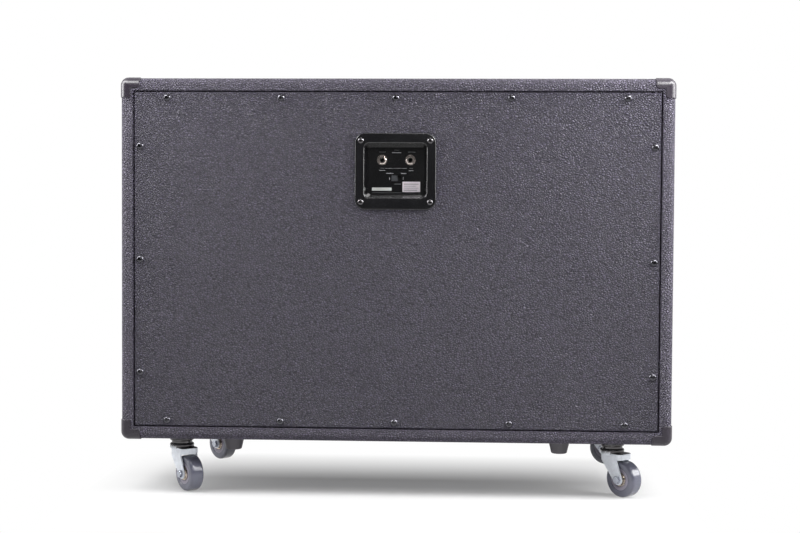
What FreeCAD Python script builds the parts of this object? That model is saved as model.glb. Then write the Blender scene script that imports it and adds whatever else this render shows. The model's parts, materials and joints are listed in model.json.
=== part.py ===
import FreeCAD, Part
import math
import os

# Closed-back guitar speaker cabinet for two twelve inch speakers, on four removable casters.
# Millimetres, +Z up. The grille faces -Y and the back panel faces +Y. The origin is on the
# floor under the middle of the cabinet. Left and right are as seen from the grille side.

# Clearances shared by all pieces
fit_gap = 0.3
screw_gap = 0.05
running_gap = 0.06
cut_overrun = 5.0
match_tolerance = 0.001

# Carcass: four finger-jointed boards in a vinyl covering that turns in at both ends
cabinet_width = 760.0
cabinet_depth = 356.0
cabinet_height = 500.0
board_thickness = 16.0
edge_radius = 10.0
vinyl_thickness = 1.0
rim_radius = 2.0
finger_count = 9
cleat_width = 20.0
brace_width = 24.0

# Moulded corner protectors with three legs
corner_leg_length = 27.0
corner_leg_width = 14.0
corner_leg_round = 3.5
corner_proud = 1.2

# Back panel and its screws
panel_thickness = 15.0
panel_recess = 1.0
panel_gap = 1.2
panel_edge_radius = 2.0
row_screw_count = 5
row_end_offset = 37.5
column_screw_count = 3
column_end_offset = 66.5
panel_screw_head_radius = 4.8
panel_screw_head_height = 2.4
panel_screw_radius = 2.0
panel_screw_length = 30.0

# A pan head's upright rim as a share of its height, and its flat top as a share of its radius
head_rim_share = 0.4
head_top_share = 0.55

# Recessed jack dish, placed by its flange's distance from the top of the cabinet
dish_top_distance = 75.25
dish_flange_width = 111.0
dish_flange_height = 104.5
dish_flange_radius = 14.0
dish_flange_thickness = 2.5
dish_flange_round = 1.2
dish_mouth_width = 86.0
dish_mouth_height = 74.5
dish_mouth_radius = 7.0
dish_mouth_round = 1.8
dish_mouth_rise = 1.4
dish_floor_width = 77.0
dish_floor_height = 65.5
dish_floor_radius = 4.0
dish_depth = 26.0
dish_wall = 2.0
dish_screw_span_x = 95.2
dish_screw_span_y = 84.0
dish_screw_head_radius = 4.0
dish_screw_head_height = 2.0
dish_screw_radius = 1.75
dish_screw_length = 16.0

# Jack sockets in the dish floor
jack_spacing = 39.2
jack_rise = 16.7
jack_bore_radius = 3.25
jack_bush_radius = 4.75
jack_bush_proud = 0.6
jack_body_width = 15.0
jack_body_length = 24.0
jack_end_wall = 2.0
jack_nut_radius = 6.6
jack_nut_thickness = 2.4
jack_washer_radius = 7.3
jack_washer_thickness = 0.8

# Slide switch below the jacks
switch_drop = 8.6
switch_slot_width = 13.6
switch_slot_height = 8.2
switch_knob_width = 7.0
switch_knob_proud = 1.6
switch_base_lip = 1.5
switch_base_thickness = 2.0
switch_wall = 1.2
switch_body_depth = 9.0

# Recessed side handles
handle_height = 330.0
handle_flange_width = 190.0
handle_flange_height = 122.0
handle_flange_radius = 16.0
handle_flange_thickness = 2.5
handle_flange_round = 1.2
handle_mouth_width = 150.0
handle_mouth_height = 84.0
handle_mouth_radius = 14.0
handle_mouth_round = 1.5
handle_floor_width = 134.0
handle_floor_height = 62.0
handle_floor_radius = 12.0
handle_depth = 52.0
handle_wall = 2.5
handle_grip_radius = 9.0
handle_grip_rise = 18.0
handle_grip_depth = 13.0
handle_screw_span_x = 168.0
handle_screw_span_y = 100.0
handle_screw_head_radius = 4.2
handle_screw_head_height = 2.2
handle_screw_radius = 2.0
handle_screw_length = 17.0

# Grille: a wooden frame with cloth stretched over it
grille_recess = 8.0
grille_gap = 1.0
grille_cloth_thickness = 1.0
grille_edge_radius = 3.0
grille_frame_thickness = 12.0
grille_bar_width = 30.0

# Baffle board
baffle_thickness = 18.0
speaker_hole_gap = 0.6

# Speaker: radii from its axis, places behind the baffle. It fills half the width inside the cabinet,
# less the brace and a space all round, and its rings follow from its flange.
speaker_edge_space = 21.0
flange_width = 13.5
basket_shelf_width = 11.0
basket_seat_radius = 68.0
basket_neck_radius = 52.0
basket_bore_radius = 30.0
basket_thickness = 1.6
basket_step = 2.5
basket_seat_place = 70.0
basket_depth = 84.0
window_seat_margin = 10.0
window_rim_margin = 8.0
window_count = 6
window_angle_share = 0.7
terminal_width = 16.0
terminal_reach = 80.0
terminal_depth = 12.0
surround_width = 17.0
cone_place = 3.0
cone_depth = 59.0
cone_thickness = 1.0
cap_radius = 38.0
cap_rise = 10.0
cap_thickness = 0.8
coil_radius = 25.5
coil_former_thickness = 0.5
coil_winding_thickness = 0.8
coil_winding_length = 9.0
coil_tail = 2.5
coil_gap = 0.5
surround_thickness = 0.8
surround_roll = 1.8
surround_ring_width = 9.2
spider_thickness = 0.6
spider_roll = 2.0
spider_ring_width = 12.0
spider_roll_count = 6
top_plate_radius = 55.0
top_plate_thickness = 8.0
magnet_radius = 78.0
magnet_bore_radius = 42.0
magnet_thickness = 20.0
back_plate_radius = 72.0
back_plate_thickness = 8.0
pole_clearance = 0.8
speaker_bolt_count = 4
speaker_bolt_inset = 6.0
speaker_bolt_radius = 2.4
speaker_bolt_length = 14.0
speaker_bolt_head_radius = 4.2
speaker_bolt_head_height = 2.6

# Speaker leads, each held by one clip on the centre brace
lead_radius = 2.5
clip_wall = 1.0
clip_length = 8.0
lead_arc_share = 0.45
lead_fall_shares = (0.78, 0.44, 0.12)

# Rubber feet between the casters
foot_side_inset = 149.5
foot_end_inset = 54.0
foot_height = 20.5
foot_top_radius = 15.6
foot_tip_radius = 10.8
foot_recess_radius = 5.5
foot_recess_depth = 13.5
foot_screw_radius = 2.0
foot_screw_length = 20.0
foot_screw_head_radius = 4.4
foot_screw_head_height = 2.6

# Casters: a stem in a pressed-in socket, a stamped fork and a tyred wheel
caster_side_inset = 75.5
caster_end_inset = 51.0
caster_trail = 22.5
wheel_radius = 25.0
wheel_width = 20.0
wheel_head_room = 8.0
tyre_shoulder = 4.0
core_radius = 15.2
core_width = 18.6
core_groove_radius = 10.9
core_groove_depth = 1.5
bearing_radius = 9.7
bearing_width = 20.4
hub_radius = 6.2
hub_end_gap = 0.5
axle_radius = 3.0
axle_head_radius = 5.8
axle_head_height = 4.2
axle_chamfer_share = 0.2
fork_thickness = 2.0
fork_inner_width = 23.0
fork_lead = 12.0
fork_nose_radius = 8.0
fork_leading_drop = 15.0
fork_tail = 4.0
fork_skirt_height = 8.5
fork_bend_radius = 7.0
fork_eye_radius = 7.5
raceway_radius = 17.0
raceway_height = 5.0
raceway_round = 2.0
band_radius = 14.5
band_height = 3.7
cap_disc_radius = 17.0
cap_disc_height = 4.0
cap_disc_chamfer = 1.0
collar_radius = 9.0
collar_height = 2.0
stem_radius = 5.5
stem_length = 24.0
rivet_radius = 4.0
rivet_head_radius = 6.5
rivet_head_height = 2.4
socket_flange_radius = 24.0
socket_flange_thickness = 2.0
socket_wall = 1.2

# Heading of each caster's trail as it stands, in degrees from +X
caster_headings = {"front_left": 145.0, "front_right": 136.0, "rear_left": 132.0, "rear_right": 130.0}

# Places worked out from the sizes above
half_width = cabinet_width / 2
half_depth = cabinet_depth / 2
crown_top = 2 * wheel_radius + wheel_head_room + fork_thickness
raceway_top = crown_top + raceway_height
cap_bottom = raceway_top + fit_gap + band_height
cap_top = cap_bottom + cap_disc_height
socket_bottom = cap_top + collar_height
underside = socket_bottom + socket_flange_thickness
top = underside + cabinet_height
middle = underside + cabinet_height / 2
wall = board_thickness + vinyl_thickness
cavity_half_width = half_width - wall
cavity_half_height = cabinet_height / 2 - wall
opening_half_width = cavity_half_width - vinyl_thickness
opening_half_height = cavity_half_height - vinyl_thickness
panel_face = half_depth - panel_recess
panel_front = panel_face - vinyl_thickness - panel_thickness
panel_half_width = opening_half_width - panel_gap
panel_half_height = opening_half_height - panel_gap
grille_face = -half_depth + grille_recess
grille_frame_face = grille_face + grille_cloth_thickness
baffle_face = grille_frame_face + grille_frame_thickness
baffle_back = baffle_face + baffle_thickness
screw_column = cavity_half_width - cleat_width / 2
screw_row = cavity_half_height - cleat_width / 2
speaker_offset = (cavity_half_width + brace_width / 2) / 2
flange_radius = (cavity_half_width - brace_width / 2) / 2 - speaker_edge_space
basket_rim_radius = flange_radius - flange_width
basket_shelf_radius = basket_rim_radius - basket_shelf_width
cone_radius = basket_rim_radius - surround_width
window_inner_radius = basket_seat_radius + window_seat_margin
window_outer_radius = basket_shelf_radius - window_rim_margin
bolt_circle_radius = flange_radius - speaker_bolt_inset
dish_height = cabinet_height - dish_top_distance - dish_flange_height / 2
dish_floor_front = dish_flange_thickness - dish_depth
dish_floor_back = dish_floor_front - dish_wall
switch_base_width = switch_knob_width + 2 * switch_base_lip
switch_base_height = switch_slot_height + 2 * switch_base_lip
switch_travel = switch_slot_width - switch_knob_width - 2 * fit_gap
lead_side = brace_width / 2 + clip_wall + lead_radius

origin = FreeCAD.Vector(0, 0, 0)
x_axis = FreeCAD.Vector(1, 0, 0)
y_axis = FreeCAD.Vector(0, 1, 0)
z_axis = FreeCAD.Vector(0, 0, 1)
sides = {"left": -1, "right": 1}
ends = {"front": -1, "rear": 1}


# Basic forms

def block(low, high):
    """Box between two opposite corners."""
    size = FreeCAD.Vector(*high) - FreeCAD.Vector(*low)
    return Part.makeBox(size.x, size.y, size.z, FreeCAD.Vector(*low))


def bar(half_x, y_range, half_z):
    """Box centred on the cabinet's axis along Y."""
    return block((-half_x, y_range[0], middle - half_z), (half_x, y_range[1], middle + half_z))


def turned(points):
    """Solid of revolution about Z from (radius, height) corners."""
    corners = [FreeCAD.Vector(radius, 0, height) for radius, height in points]
    outline = Part.makePolygon(corners + corners[:1])
    return Part.Face(outline).revolve(origin, z_axis, 360)


def rod(radius, bottom, height):
    """Cylinder along Z."""
    return Part.makeCylinder(radius, height, FreeCAD.Vector(0, 0, bottom))


def hexagon(radius, bottom, height):
    """Six-sided bar along Z, by the radius of its corners."""
    corners = [FreeCAD.Vector(radius * math.cos(i * math.pi / 3), radius * math.sin(i * math.pi / 3), bottom)
               for i in range(7)]
    return Part.Face(Part.makePolygon(corners)).extrude(z_axis * height)


def rounded_outline(width, height, radius, level):
    """Rectangle with round corners, centred on Z at a level."""
    x = width / 2 - radius
    y = height / 2 - radius
    slant = radius / math.sqrt(2)
    quarters = [(x, y, 1, 1), (-x, y, -1, 1), (-x, -y, -1, -1), (x, -y, 1, -1)]
    edges = []
    last = None
    for cx, cy, sx, sy in quarters:
        on_x = FreeCAD.Vector(cx + sx * radius, cy, level)
        on_y = FreeCAD.Vector(cx, cy + sy * radius, level)
        start, end = (on_x, on_y) if sx * sy > 0 else (on_y, on_x)
        bend = FreeCAD.Vector(cx + sx * slant, cy + sy * slant, level)
        if last:
            edges.append(Part.LineSegment(last, start).toShape())
        edges.append(Part.Arc(start, bend, end).toShape())
        last = end
    edges.append(Part.LineSegment(last, edges[0].firstVertex().Point).toShape())
    return Part.Wire(edges)


def rounded_plate(width, height, radius, bottom, thickness):
    """Plate with round corners, centred on Z."""
    face = Part.Face(rounded_outline(width, height, radius, bottom))
    return face.extrude(z_axis * thickness)


def edges_at(shape, axis, level, half_sizes=None):
    """Edges in the plane across one axis, or only those inside a centred rectangle of X and Z."""
    found = []
    for edge in shape.Edges:
        box = edge.BoundBox
        low, high = {"y": (box.YMin, box.YMax), "z": (box.ZMin, box.ZMax)}[axis]
        if abs(low - level) > match_tolerance or abs(high - level) > match_tolerance:
            continue
        if half_sizes:
            reach_x = max(abs(box.XMin), abs(box.XMax))
            reach_z = max(abs(box.ZMin - middle), abs(box.ZMax - middle))
            if reach_x > half_sizes[0] + match_tolerance or reach_z > half_sizes[1] + match_tolerance:
                continue
        found.append(edge)
    return found


def placed(shape, place, rotation=FreeCAD.Rotation()):
    """Copy of a shape, turned about the origin and then moved."""
    return shape.transformed(FreeCAD.Placement(FreeCAD.Vector(*place), rotation).toMatrix(), True)


def pan_screw(head_radius, head_height, radius, length):
    """Screw whose head stands on z = 0 with its shank below."""
    rim = head_height * head_rim_share
    flat = head_radius * head_top_share
    return turned([(0, -length), (radius, -length), (radius, 0), (head_radius, 0),
                   (head_radius, rim), (flat, head_height), (0, head_height)])


def screw_hole(radius, length):
    """Hole that a screw's shank fills, open above z = 0."""
    return rod(radius + screw_gap, -length - screw_gap, length + screw_gap + cut_overrun)


def moulded_dish(flange, mouth, floor, depth, wall_thickness, rise, mouth_round):
    """Flanged dish that opens upwards, with its flange's underside on z = 0 and a rounded mouth."""
    width, height, radius, thickness, edge_round = flange
    plate = rounded_plate(width, height, radius, 0, thickness)
    plate = plate.makeFillet(edge_round, edges_at(plate, "z", thickness))
    bottom = thickness - depth
    grown = [side + 2 * wall_thickness for side in mouth[:2]]
    floor_grown = [side + 2 * wall_thickness for side in floor[:2]]
    shell = Part.makeLoft([rounded_outline(*grown, mouth[2] + wall_thickness, 0),
                           rounded_outline(*floor_grown, floor[2] + wall_thickness,
                                           bottom - wall_thickness)], True, True)
    hollow = dish_hollow(flange, mouth, floor, depth)
    shift = FreeCAD.Vector(0, rise, 0)
    dish = plate.fuse(shell.translated(shift)).cut(hollow.translated(shift)).removeSplitter()
    reach = mouth[0] / 2 + match_tolerance
    lip = [edge for edge in edges_at(dish, "z", thickness) if edge.BoundBox.XMax < reach
           and edge.BoundBox.XMin > -reach
           and abs(edge.CenterOfMass.y - rise) < mouth[1] / 2 + match_tolerance]
    return dish.makeFillet(mouth_round, lip)


def dish_hollow(flange, mouth, floor, depth):
    """Space inside a moulded dish, from its mouth to its floor."""
    thickness = flange[3]
    return Part.makeLoft([rounded_outline(*mouth, thickness),
                          rounded_outline(*floor, thickness - depth)], True, True)


# Places on the faces of the cabinet

rear_turn = FreeCAD.Rotation(-x_axis, z_axis, y_axis, "ZYX")
side_turns = {"right": FreeCAD.Rotation(y_axis, z_axis, x_axis, "ZYX"),
              "left": FreeCAD.Rotation(-y_axis, z_axis, -x_axis, "ZYX")}
speaker_turn = FreeCAD.Rotation(x_axis, -90)


def on_back(shape, x, height):
    """Place on the back panel's face: x to the right of someone behind the cabinet, z outwards."""
    return placed(shape, (-x, panel_face, underside + height), rear_turn)


def on_side(shape, side, along=0, height=handle_height):
    """Place on a side of the cabinet, with z outwards."""
    return placed(shape, (sides[side] * half_width, along, underside + height), side_turns[side])


def corners_of(span_x, span_y):
    """The four corners of a centred rectangle."""
    return [(sx * span_x / 2, sy * span_y / 2) for sx in (-1, 1) for sy in (-1, 1)]


def spread(count, reach):
    """Evenly spaced places from -reach to reach."""
    return [reach * (2 * i / (count - 1) - 1) for i in range(count)]


def panel_screw_places():
    rows = [(x, side * screw_row) for side in (-1, 1)
            for x in spread(row_screw_count, screw_column - row_end_offset)]
    columns = [(side * screw_column, y) for side in (-1, 1)
               for y in spread(column_screw_count, screw_row - column_end_offset)]
    return [(x, cabinet_height / 2 + y) for x, y in rows + columns]


def foot_places():
    return corners_of(2 * (half_width - foot_side_inset), 2 * (half_depth - foot_end_inset))


def caster_places():
    """Swivel axis of each caster by name."""
    return {f"{end}_{side}": (sides[side] * (half_width - caster_side_inset),
                              ends[end] * (half_depth - caster_end_inset))
            for end in ends for side in sides}


dish_flange = (dish_flange_width, dish_flange_height, dish_flange_radius,
               dish_flange_thickness, dish_flange_round)
dish_mouth = (dish_mouth_width, dish_mouth_height, dish_mouth_radius)
dish_floor = (dish_floor_width, dish_floor_height, dish_floor_radius)
handle_flange = (handle_flange_width, handle_flange_height, handle_flange_radius,
                 handle_flange_thickness, handle_flange_round)
handle_mouth = (handle_mouth_width, handle_mouth_height, handle_mouth_radius)
handle_floor = (handle_floor_width, handle_floor_height, handle_floor_radius)


def dish_cut_out(mouth, wall_thickness, rise, reach):
    """Hole that a dish drops into, from above its flange down to a reach."""
    grown = [side + 2 * (wall_thickness + fit_gap) for side in mouth[:2]]
    hole = rounded_plate(*grown, mouth[2] + wall_thickness, -reach, reach + cut_overrun)
    return hole.translated(FreeCAD.Vector(0, rise, 0))


# Carcass

def envelope(inset, radius):
    """Rounded outside of the cabinet, set in from its covered faces."""
    low = (-half_width + inset, -half_depth + inset, underside + inset)
    high = (half_width - inset, half_depth - inset, top - inset)
    solid = block(low, high)
    return solid.makeFillet(radius, solid.Edges)


def round_rims(shape, end, radius, half_sizes):
    """Round the inner edges of both open ends."""
    edges = edges_at(shape, "y", -end, half_sizes) + edges_at(shape, "y", end, half_sizes)
    return shape.makeFillet(radius, edges)


def make_ring():
    """The four boards as one ring, with no holes."""
    cavity = bar(cavity_half_width, (-half_depth, half_depth), cavity_half_height)
    ring = envelope(vinyl_thickness, edge_radius - vinyl_thickness).cut(cavity)
    return round_rims(ring, half_depth - vinyl_thickness, rim_radius - vinyl_thickness,
                      (cavity_half_width, cavity_half_height))


def carcass_holes():
    """Holes through the covering and the boards for handles, feet and caster sockets."""
    holes = []
    hollow = dish_cut_out(handle_mouth, handle_wall, 0, handle_depth)
    screw = screw_hole(handle_screw_radius, handle_screw_length - handle_flange_thickness)
    for side in sides:
        holes.append(on_side(hollow, side))
        for x, y in corners_of(handle_screw_span_x, handle_screw_span_y):
            holes.append(on_side(screw.translated(FreeCAD.Vector(x, y, 0)), side))
    foot_hole_length = foot_screw_length - (foot_height - foot_recess_depth)
    for x, y in foot_places():
        hole = rod(foot_screw_radius + screw_gap, -cut_overrun, foot_hole_length + cut_overrun)
        holes.append(placed(hole, (x, y, underside)))
    return holes + socket_holes()


def socket_holes():
    """Holes for the caster sockets, through the bottom board and whatever lies on it."""
    hole = rod(socket_tube_radius() + screw_gap, -cut_overrun, stem_length + 2 * cut_overrun)
    return [placed(hole, (x, y, underside)) for x, y in caster_places().values()]


def finger_blocks(start):
    """Every second finger of the corner joints, in all four corners."""
    length = cabinet_depth - 2 * vinyl_thickness
    pitch = length / finger_count
    blocks = []
    for i in range(start, finger_count, 2):
        y = -length / 2 + i * pitch
        for sx in (-1, 1):
            for sz in (-1, 1):
                x0, x1 = sorted((sx * cavity_half_width, sx * half_width))
                z0, z1 = sorted((sz * cavity_half_height, sz * cabinet_height / 2))
                blocks.append(block((x0, y, middle + z0), (x1, y + pitch, middle + z1)))
    return blocks


def make_boards(ring, holes):
    """Split the ring into four boards along its finger joints."""
    drilled = ring.cut(holes)
    boards = {}
    slabs = {"left_side_board": ((-half_width, underside), (-cavity_half_width, top)),
             "right_side_board": ((cavity_half_width, underside), (half_width, top)),
             "bottom_board": ((-half_width, underside), (half_width, underside + wall)),
             "top_board": ((-half_width, top - wall), (half_width, top))}
    for name, ((x0, z0), (x1, z1)) in slabs.items():
        slab = block((x0, -half_depth, z0), (x1, half_depth, z1))
        start = 0 if "side" in name else 1
        boards[name] = drilled.common(slab).cut(finger_blocks(start))
    return boards


def corner_legs(growth):
    """Space that the eight corner protectors cover, grown by a clearance."""
    length = corner_leg_length + growth
    width = corner_leg_width + growth
    reach = corner_proud + cut_overrun
    sizes = [(length, width, width), (width, length, width), (width, width, length)]
    legs = []
    for sx in (-1, 1):
        for sy in (-1, 1):
            for sz in (-1, 1):
                shapes = []
                for leg, (dx, dy, dz) in enumerate(sizes):
                    ends_of_leg = [(sx * (half_width + reach), sx * (half_width - dx)),
                                   (sy * (half_depth + reach), sy * (half_depth - dy)),
                                   (sz * (cabinet_height / 2 + reach), sz * (cabinet_height / 2 - dz))]
                    low = [min(pair) for pair in ends_of_leg]
                    high = [max(pair) for pair in ends_of_leg]
                    solid = block(low, high)
                    shapes.append(solid.makeFillet(corner_leg_round, leg_end_edges(solid, leg, ends_of_leg)))
                legs.append(shapes[0].multiFuse(shapes[1:]).translated(z_axis * middle))
    return legs


def leg_end_edges(solid, leg, ends_of_leg):
    """The two inner edges across a leg's end."""
    inner = [pair[1] for pair in ends_of_leg]
    found = []
    for edge in solid.Edges:
        point = edge.CenterOfMass
        at_inner = [abs(value - inner[i]) < match_tolerance for i, value in enumerate(point)]
        if at_inner[leg] and sum(at_inner) == 2:
            found.append(edge)
    return found


def make_corner_protectors():
    outside = envelope(-corner_proud, edge_radius + corner_proud)
    shell = outside.cut(envelope(vinyl_thickness, edge_radius - vinyl_thickness))
    return [shell.common(leg) for leg in corner_legs(0)]


def make_covering(ring, holes):
    """Vinyl round the boards, turned in to the baffle and to the back panel's cleats."""
    skin = envelope(0, edge_radius).cut(ring)
    beyond = half_depth + cut_overrun
    spaces = [bar(cavity_half_width, (baffle_face, panel_front), cavity_half_height),
              bar(opening_half_width, (panel_front, beyond), opening_half_height),
              bar(opening_half_width, (-beyond, baffle_face), opening_half_height)]
    skin = round_rims(skin.cut(spaces), half_depth, rim_radius, (opening_half_width, opening_half_height))
    return skin.cut(holes).cut(corner_legs(screw_gap))


def make_cleats():
    """Strips behind the baffle and in front of the back panel."""
    inner = cavity_half_height - cleat_width
    strips = []
    for start in (baffle_back, panel_front - cleat_width):
        for side in (-1, 1):
            z0, z1 = sorted((side * inner, side * cavity_half_height))
            strips.append(block((-cavity_half_width, start, middle + z0),
                                (cavity_half_width, start + cleat_width, middle + z1)))
    for side in (-1, 1):
        x0, x1 = sorted((side * (cavity_half_width - cleat_width), side * cavity_half_width))
        strips.append(block((x0, panel_front - cleat_width, middle - inner),
                            (x1, panel_front, middle + inner)))
    return [strip.cut(panel_screw_holes() + socket_holes()) for strip in strips]


def make_brace():
    """Post between the baffle and the back panel."""
    return bar(brace_width / 2, (baffle_back, panel_front), brace_width / 2)


# Back panel

def panel_screw_holes():
    hole = screw_hole(panel_screw_radius, panel_screw_length)
    return [on_back(hole, x, height) for x, height in panel_screw_places()]


def panel_holes():
    """All holes through the back panel."""
    hollow = dish_cut_out(dish_mouth, dish_wall, dish_mouth_rise, dish_depth)
    holes = [on_back(hollow, 0, dish_height)]
    screw = screw_hole(dish_screw_radius, dish_screw_length - dish_flange_thickness)
    for x, y in corners_of(dish_screw_span_x, dish_screw_span_y):
        holes.append(on_back(screw, x, dish_height + y))
    return holes + panel_screw_holes()


def make_back_panel():
    """Board and its vinyl, which wraps round the edges."""
    covered = bar(panel_half_width, (panel_front, panel_face), panel_half_height)
    covered = covered.makeFillet(panel_edge_radius, edges_at(covered, "y", panel_face))
    board_face = panel_face - vinyl_thickness
    board = bar(panel_half_width - vinyl_thickness, (panel_front, board_face),
                panel_half_height - vinyl_thickness)
    board = board.makeFillet(panel_edge_radius - vinyl_thickness, edges_at(board, "y", board_face))
    holes = panel_holes()
    return {"back_panel": board.cut(holes), "back_panel_vinyl": covered.cut(board).cut(holes)}


def make_panel_screws():
    screw = pan_screw(panel_screw_head_radius, panel_screw_head_height,
                      panel_screw_radius, panel_screw_length)
    return [on_back(screw, x, height) for x, height in panel_screw_places()]


# Jack dish, jacks and switch

def make_jack_dish():
    dish = moulded_dish(dish_flange, dish_mouth, dish_floor, dish_depth, dish_wall, dish_mouth_rise,
                        dish_mouth_round)
    through = dish_wall + 2 * cut_overrun
    start = dish_floor_back - cut_overrun
    cuts = [rod(jack_bush_radius + screw_gap, start, through).translated(FreeCAD.Vector(x, jack_rise, 0))
            for x in (-jack_spacing / 2, jack_spacing / 2)]
    slot = Part.makeBox(switch_slot_width, switch_slot_height, through,
                        FreeCAD.Vector(-switch_slot_width / 2, -switch_drop - switch_slot_height / 2, start))
    cuts.append(slot)
    hole = rod(dish_screw_radius + screw_gap, -cut_overrun, dish_flange_thickness + 2 * cut_overrun)
    for x, y in corners_of(dish_screw_span_x, dish_screw_span_y):
        cuts.append(hole.translated(FreeCAD.Vector(x, y, 0)))
    return on_back(dish.cut(cuts), 0, dish_height)


def make_dish_screws():
    screw = pan_screw(dish_screw_head_radius, dish_screw_head_height, dish_screw_radius, dish_screw_length)
    screw = screw.translated(z_axis * dish_flange_thickness)
    return [on_back(screw, x, dish_height + y) for x, y in corners_of(dish_screw_span_x, dish_screw_span_y)]


def make_jack_socket(x):
    """Threaded bush through the dish floor, with the contact housing behind it."""
    nut_top = dish_floor_front + jack_washer_thickness + jack_nut_thickness
    bush_length = nut_top + jack_bush_proud - dish_floor_back
    bush = rod(jack_bush_radius, dish_floor_back, bush_length)
    body = Part.makeBox(jack_body_width, jack_body_width, jack_body_length,
                        FreeCAD.Vector(-jack_body_width / 2, -jack_body_width / 2,
                                       dish_floor_back - jack_body_length))
    bore_bottom = dish_floor_back - jack_body_length + jack_end_wall
    bore = rod(jack_bore_radius, bore_bottom, nut_top + cut_overrun - bore_bottom)
    return on_back(bush.fuse(body).cut(bore).removeSplitter(), x, dish_height + jack_rise)


def make_jack_nuts():
    """Hexagon nut on a round washer, one on each bush."""
    washer = rod(jack_washer_radius, dish_floor_front, jack_washer_thickness)
    seat = dish_floor_front + jack_washer_thickness
    nut = hexagon(jack_nut_radius, seat, jack_nut_thickness)
    hole = rod(jack_bush_radius + screw_gap, dish_floor_front - cut_overrun,
               jack_washer_thickness + jack_nut_thickness + 2 * cut_overrun)
    nut = washer.fuse(nut).cut(hole).removeSplitter()
    return [on_back(nut, x, dish_height + jack_rise) for x in (-jack_spacing / 2, jack_spacing / 2)]


def centred_box(width, height, bottom, thickness):
    return Part.makeBox(width, height, thickness, FreeCAD.Vector(-width / 2, -height / 2, bottom))


def make_switch():
    """Housing behind the dish floor, and the slider whose knob stands in the slot's left end."""
    hollow_width = switch_base_width + switch_travel + 2 * fit_gap
    hollow_height = switch_base_height + 2 * fit_gap
    back = dish_floor_back - switch_body_depth
    body = centred_box(hollow_width + 2 * switch_wall, hollow_height + 2 * switch_wall,
                       back, switch_body_depth)
    hollow = centred_box(hollow_width, hollow_height, back + switch_wall, switch_body_depth - 2 * switch_wall)
    slot = centred_box(switch_slot_width, switch_slot_height, back + switch_wall, switch_body_depth)
    base_top = dish_floor_back - switch_wall - fit_gap
    base = centred_box(switch_base_width, switch_base_height, base_top - switch_base_thickness,
                       switch_base_thickness)
    knob_top = dish_floor_front + switch_knob_proud
    knob = centred_box(switch_knob_width, switch_slot_height - 2 * fit_gap, base_top - switch_base_thickness,
                       knob_top - base_top + switch_base_thickness)
    slider = base.fuse(knob).removeSplitter().translated(FreeCAD.Vector(-switch_travel / 2, 0, 0))
    height = dish_height - switch_drop
    return {"switch_body": on_back(body.cut([hollow, slot]), 0, height),
            "switch_slider": on_back(slider, 0, height)}


# Side handles

def make_handle_cup(side):
    cup = moulded_dish(handle_flange, handle_mouth, handle_floor, handle_depth, handle_wall, 0,
                       handle_mouth_round)
    hole = rod(handle_screw_radius + screw_gap, -cut_overrun, handle_flange_thickness + 2 * cut_overrun)
    places = corners_of(handle_screw_span_x, handle_screw_span_y)
    return on_side(cup.cut([hole.translated(FreeCAD.Vector(x, y, 0)) for x, y in places]), side)


def make_handle_grip(side):
    """Bar across the cup, held between its end walls."""
    grip = Part.makeCylinder(handle_grip_radius, handle_mouth_width,
                             FreeCAD.Vector(-handle_mouth_width / 2, handle_grip_rise,
                                            handle_flange_thickness - handle_grip_depth), x_axis)
    hollow = dish_hollow(handle_flange, handle_mouth, handle_floor, handle_depth)
    return on_side(grip.common(hollow), side)


def make_handle_screws():
    screw = pan_screw(handle_screw_head_radius, handle_screw_head_height, handle_screw_radius,
                      handle_screw_length)
    places = corners_of(handle_screw_span_x, handle_screw_span_y)
    return [on_side(screw.translated(FreeCAD.Vector(x, y, handle_flange_thickness)), side)
            for side in sides for x, y in places]


# Front: baffle, grille frame and cloth

def speaker_places():
    return {side: (sides[side] * speaker_offset, baffle_back, middle) for side in sides}


def bolt_places():
    """Bolt places round one speaker's axis."""
    angles = [math.pi * (2 * i + 1) / speaker_bolt_count for i in range(speaker_bolt_count)]
    return [(bolt_circle_radius * math.cos(a), bolt_circle_radius * math.sin(a)) for a in angles]


def make_baffle():
    baffle = bar(cavity_half_width, (baffle_face, baffle_back), cavity_half_height)
    hole = rod(basket_rim_radius + speaker_hole_gap, -baffle_thickness - cut_overrun,
               baffle_thickness + 2 * cut_overrun)
    screw = screw_hole(speaker_bolt_radius, speaker_bolt_length - basket_thickness)
    cuts = []
    for place in speaker_places().values():
        cuts.append(placed(hole, place, speaker_turn))
        for x, y in bolt_places():
            cuts.append(placed(screw.translated(FreeCAD.Vector(x, y, 0)), place, speaker_turn))
    return baffle.cut(cuts)


def make_grille():
    """Frame with a middle bar, and the cloth over its face and edges."""
    cloth_half_width = opening_half_width - grille_gap
    cloth_half_height = opening_half_height - grille_gap
    frame_half_width = cloth_half_width - grille_cloth_thickness
    frame_half_height = cloth_half_height - grille_cloth_thickness
    wrapped = bar(cloth_half_width, (grille_face, baffle_face), cloth_half_height)
    wrapped = wrapped.makeFillet(grille_edge_radius, edges_at(wrapped, "y", grille_face))
    plate = bar(frame_half_width, (grille_frame_face, baffle_face), frame_half_height)
    plate = plate.makeFillet(grille_edge_radius - grille_cloth_thickness,
                             edges_at(plate, "y", grille_frame_face))
    window_half_height = frame_half_height - grille_bar_width
    windows = []
    for side in (-1, 1):
        x0, x1 = sorted((side * grille_bar_width / 2, side * (frame_half_width - grille_bar_width)))
        windows.append(block((x0, grille_face, middle - window_half_height),
                             (x1, baffle_face + cut_overrun, middle + window_half_height)))
    return {"grille_frame": plate.cut(windows), "grille_cloth": wrapped.cut(plate)}


# Speakers: built about Z with the baffle's back face at z = 0 and the motor above it

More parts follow.
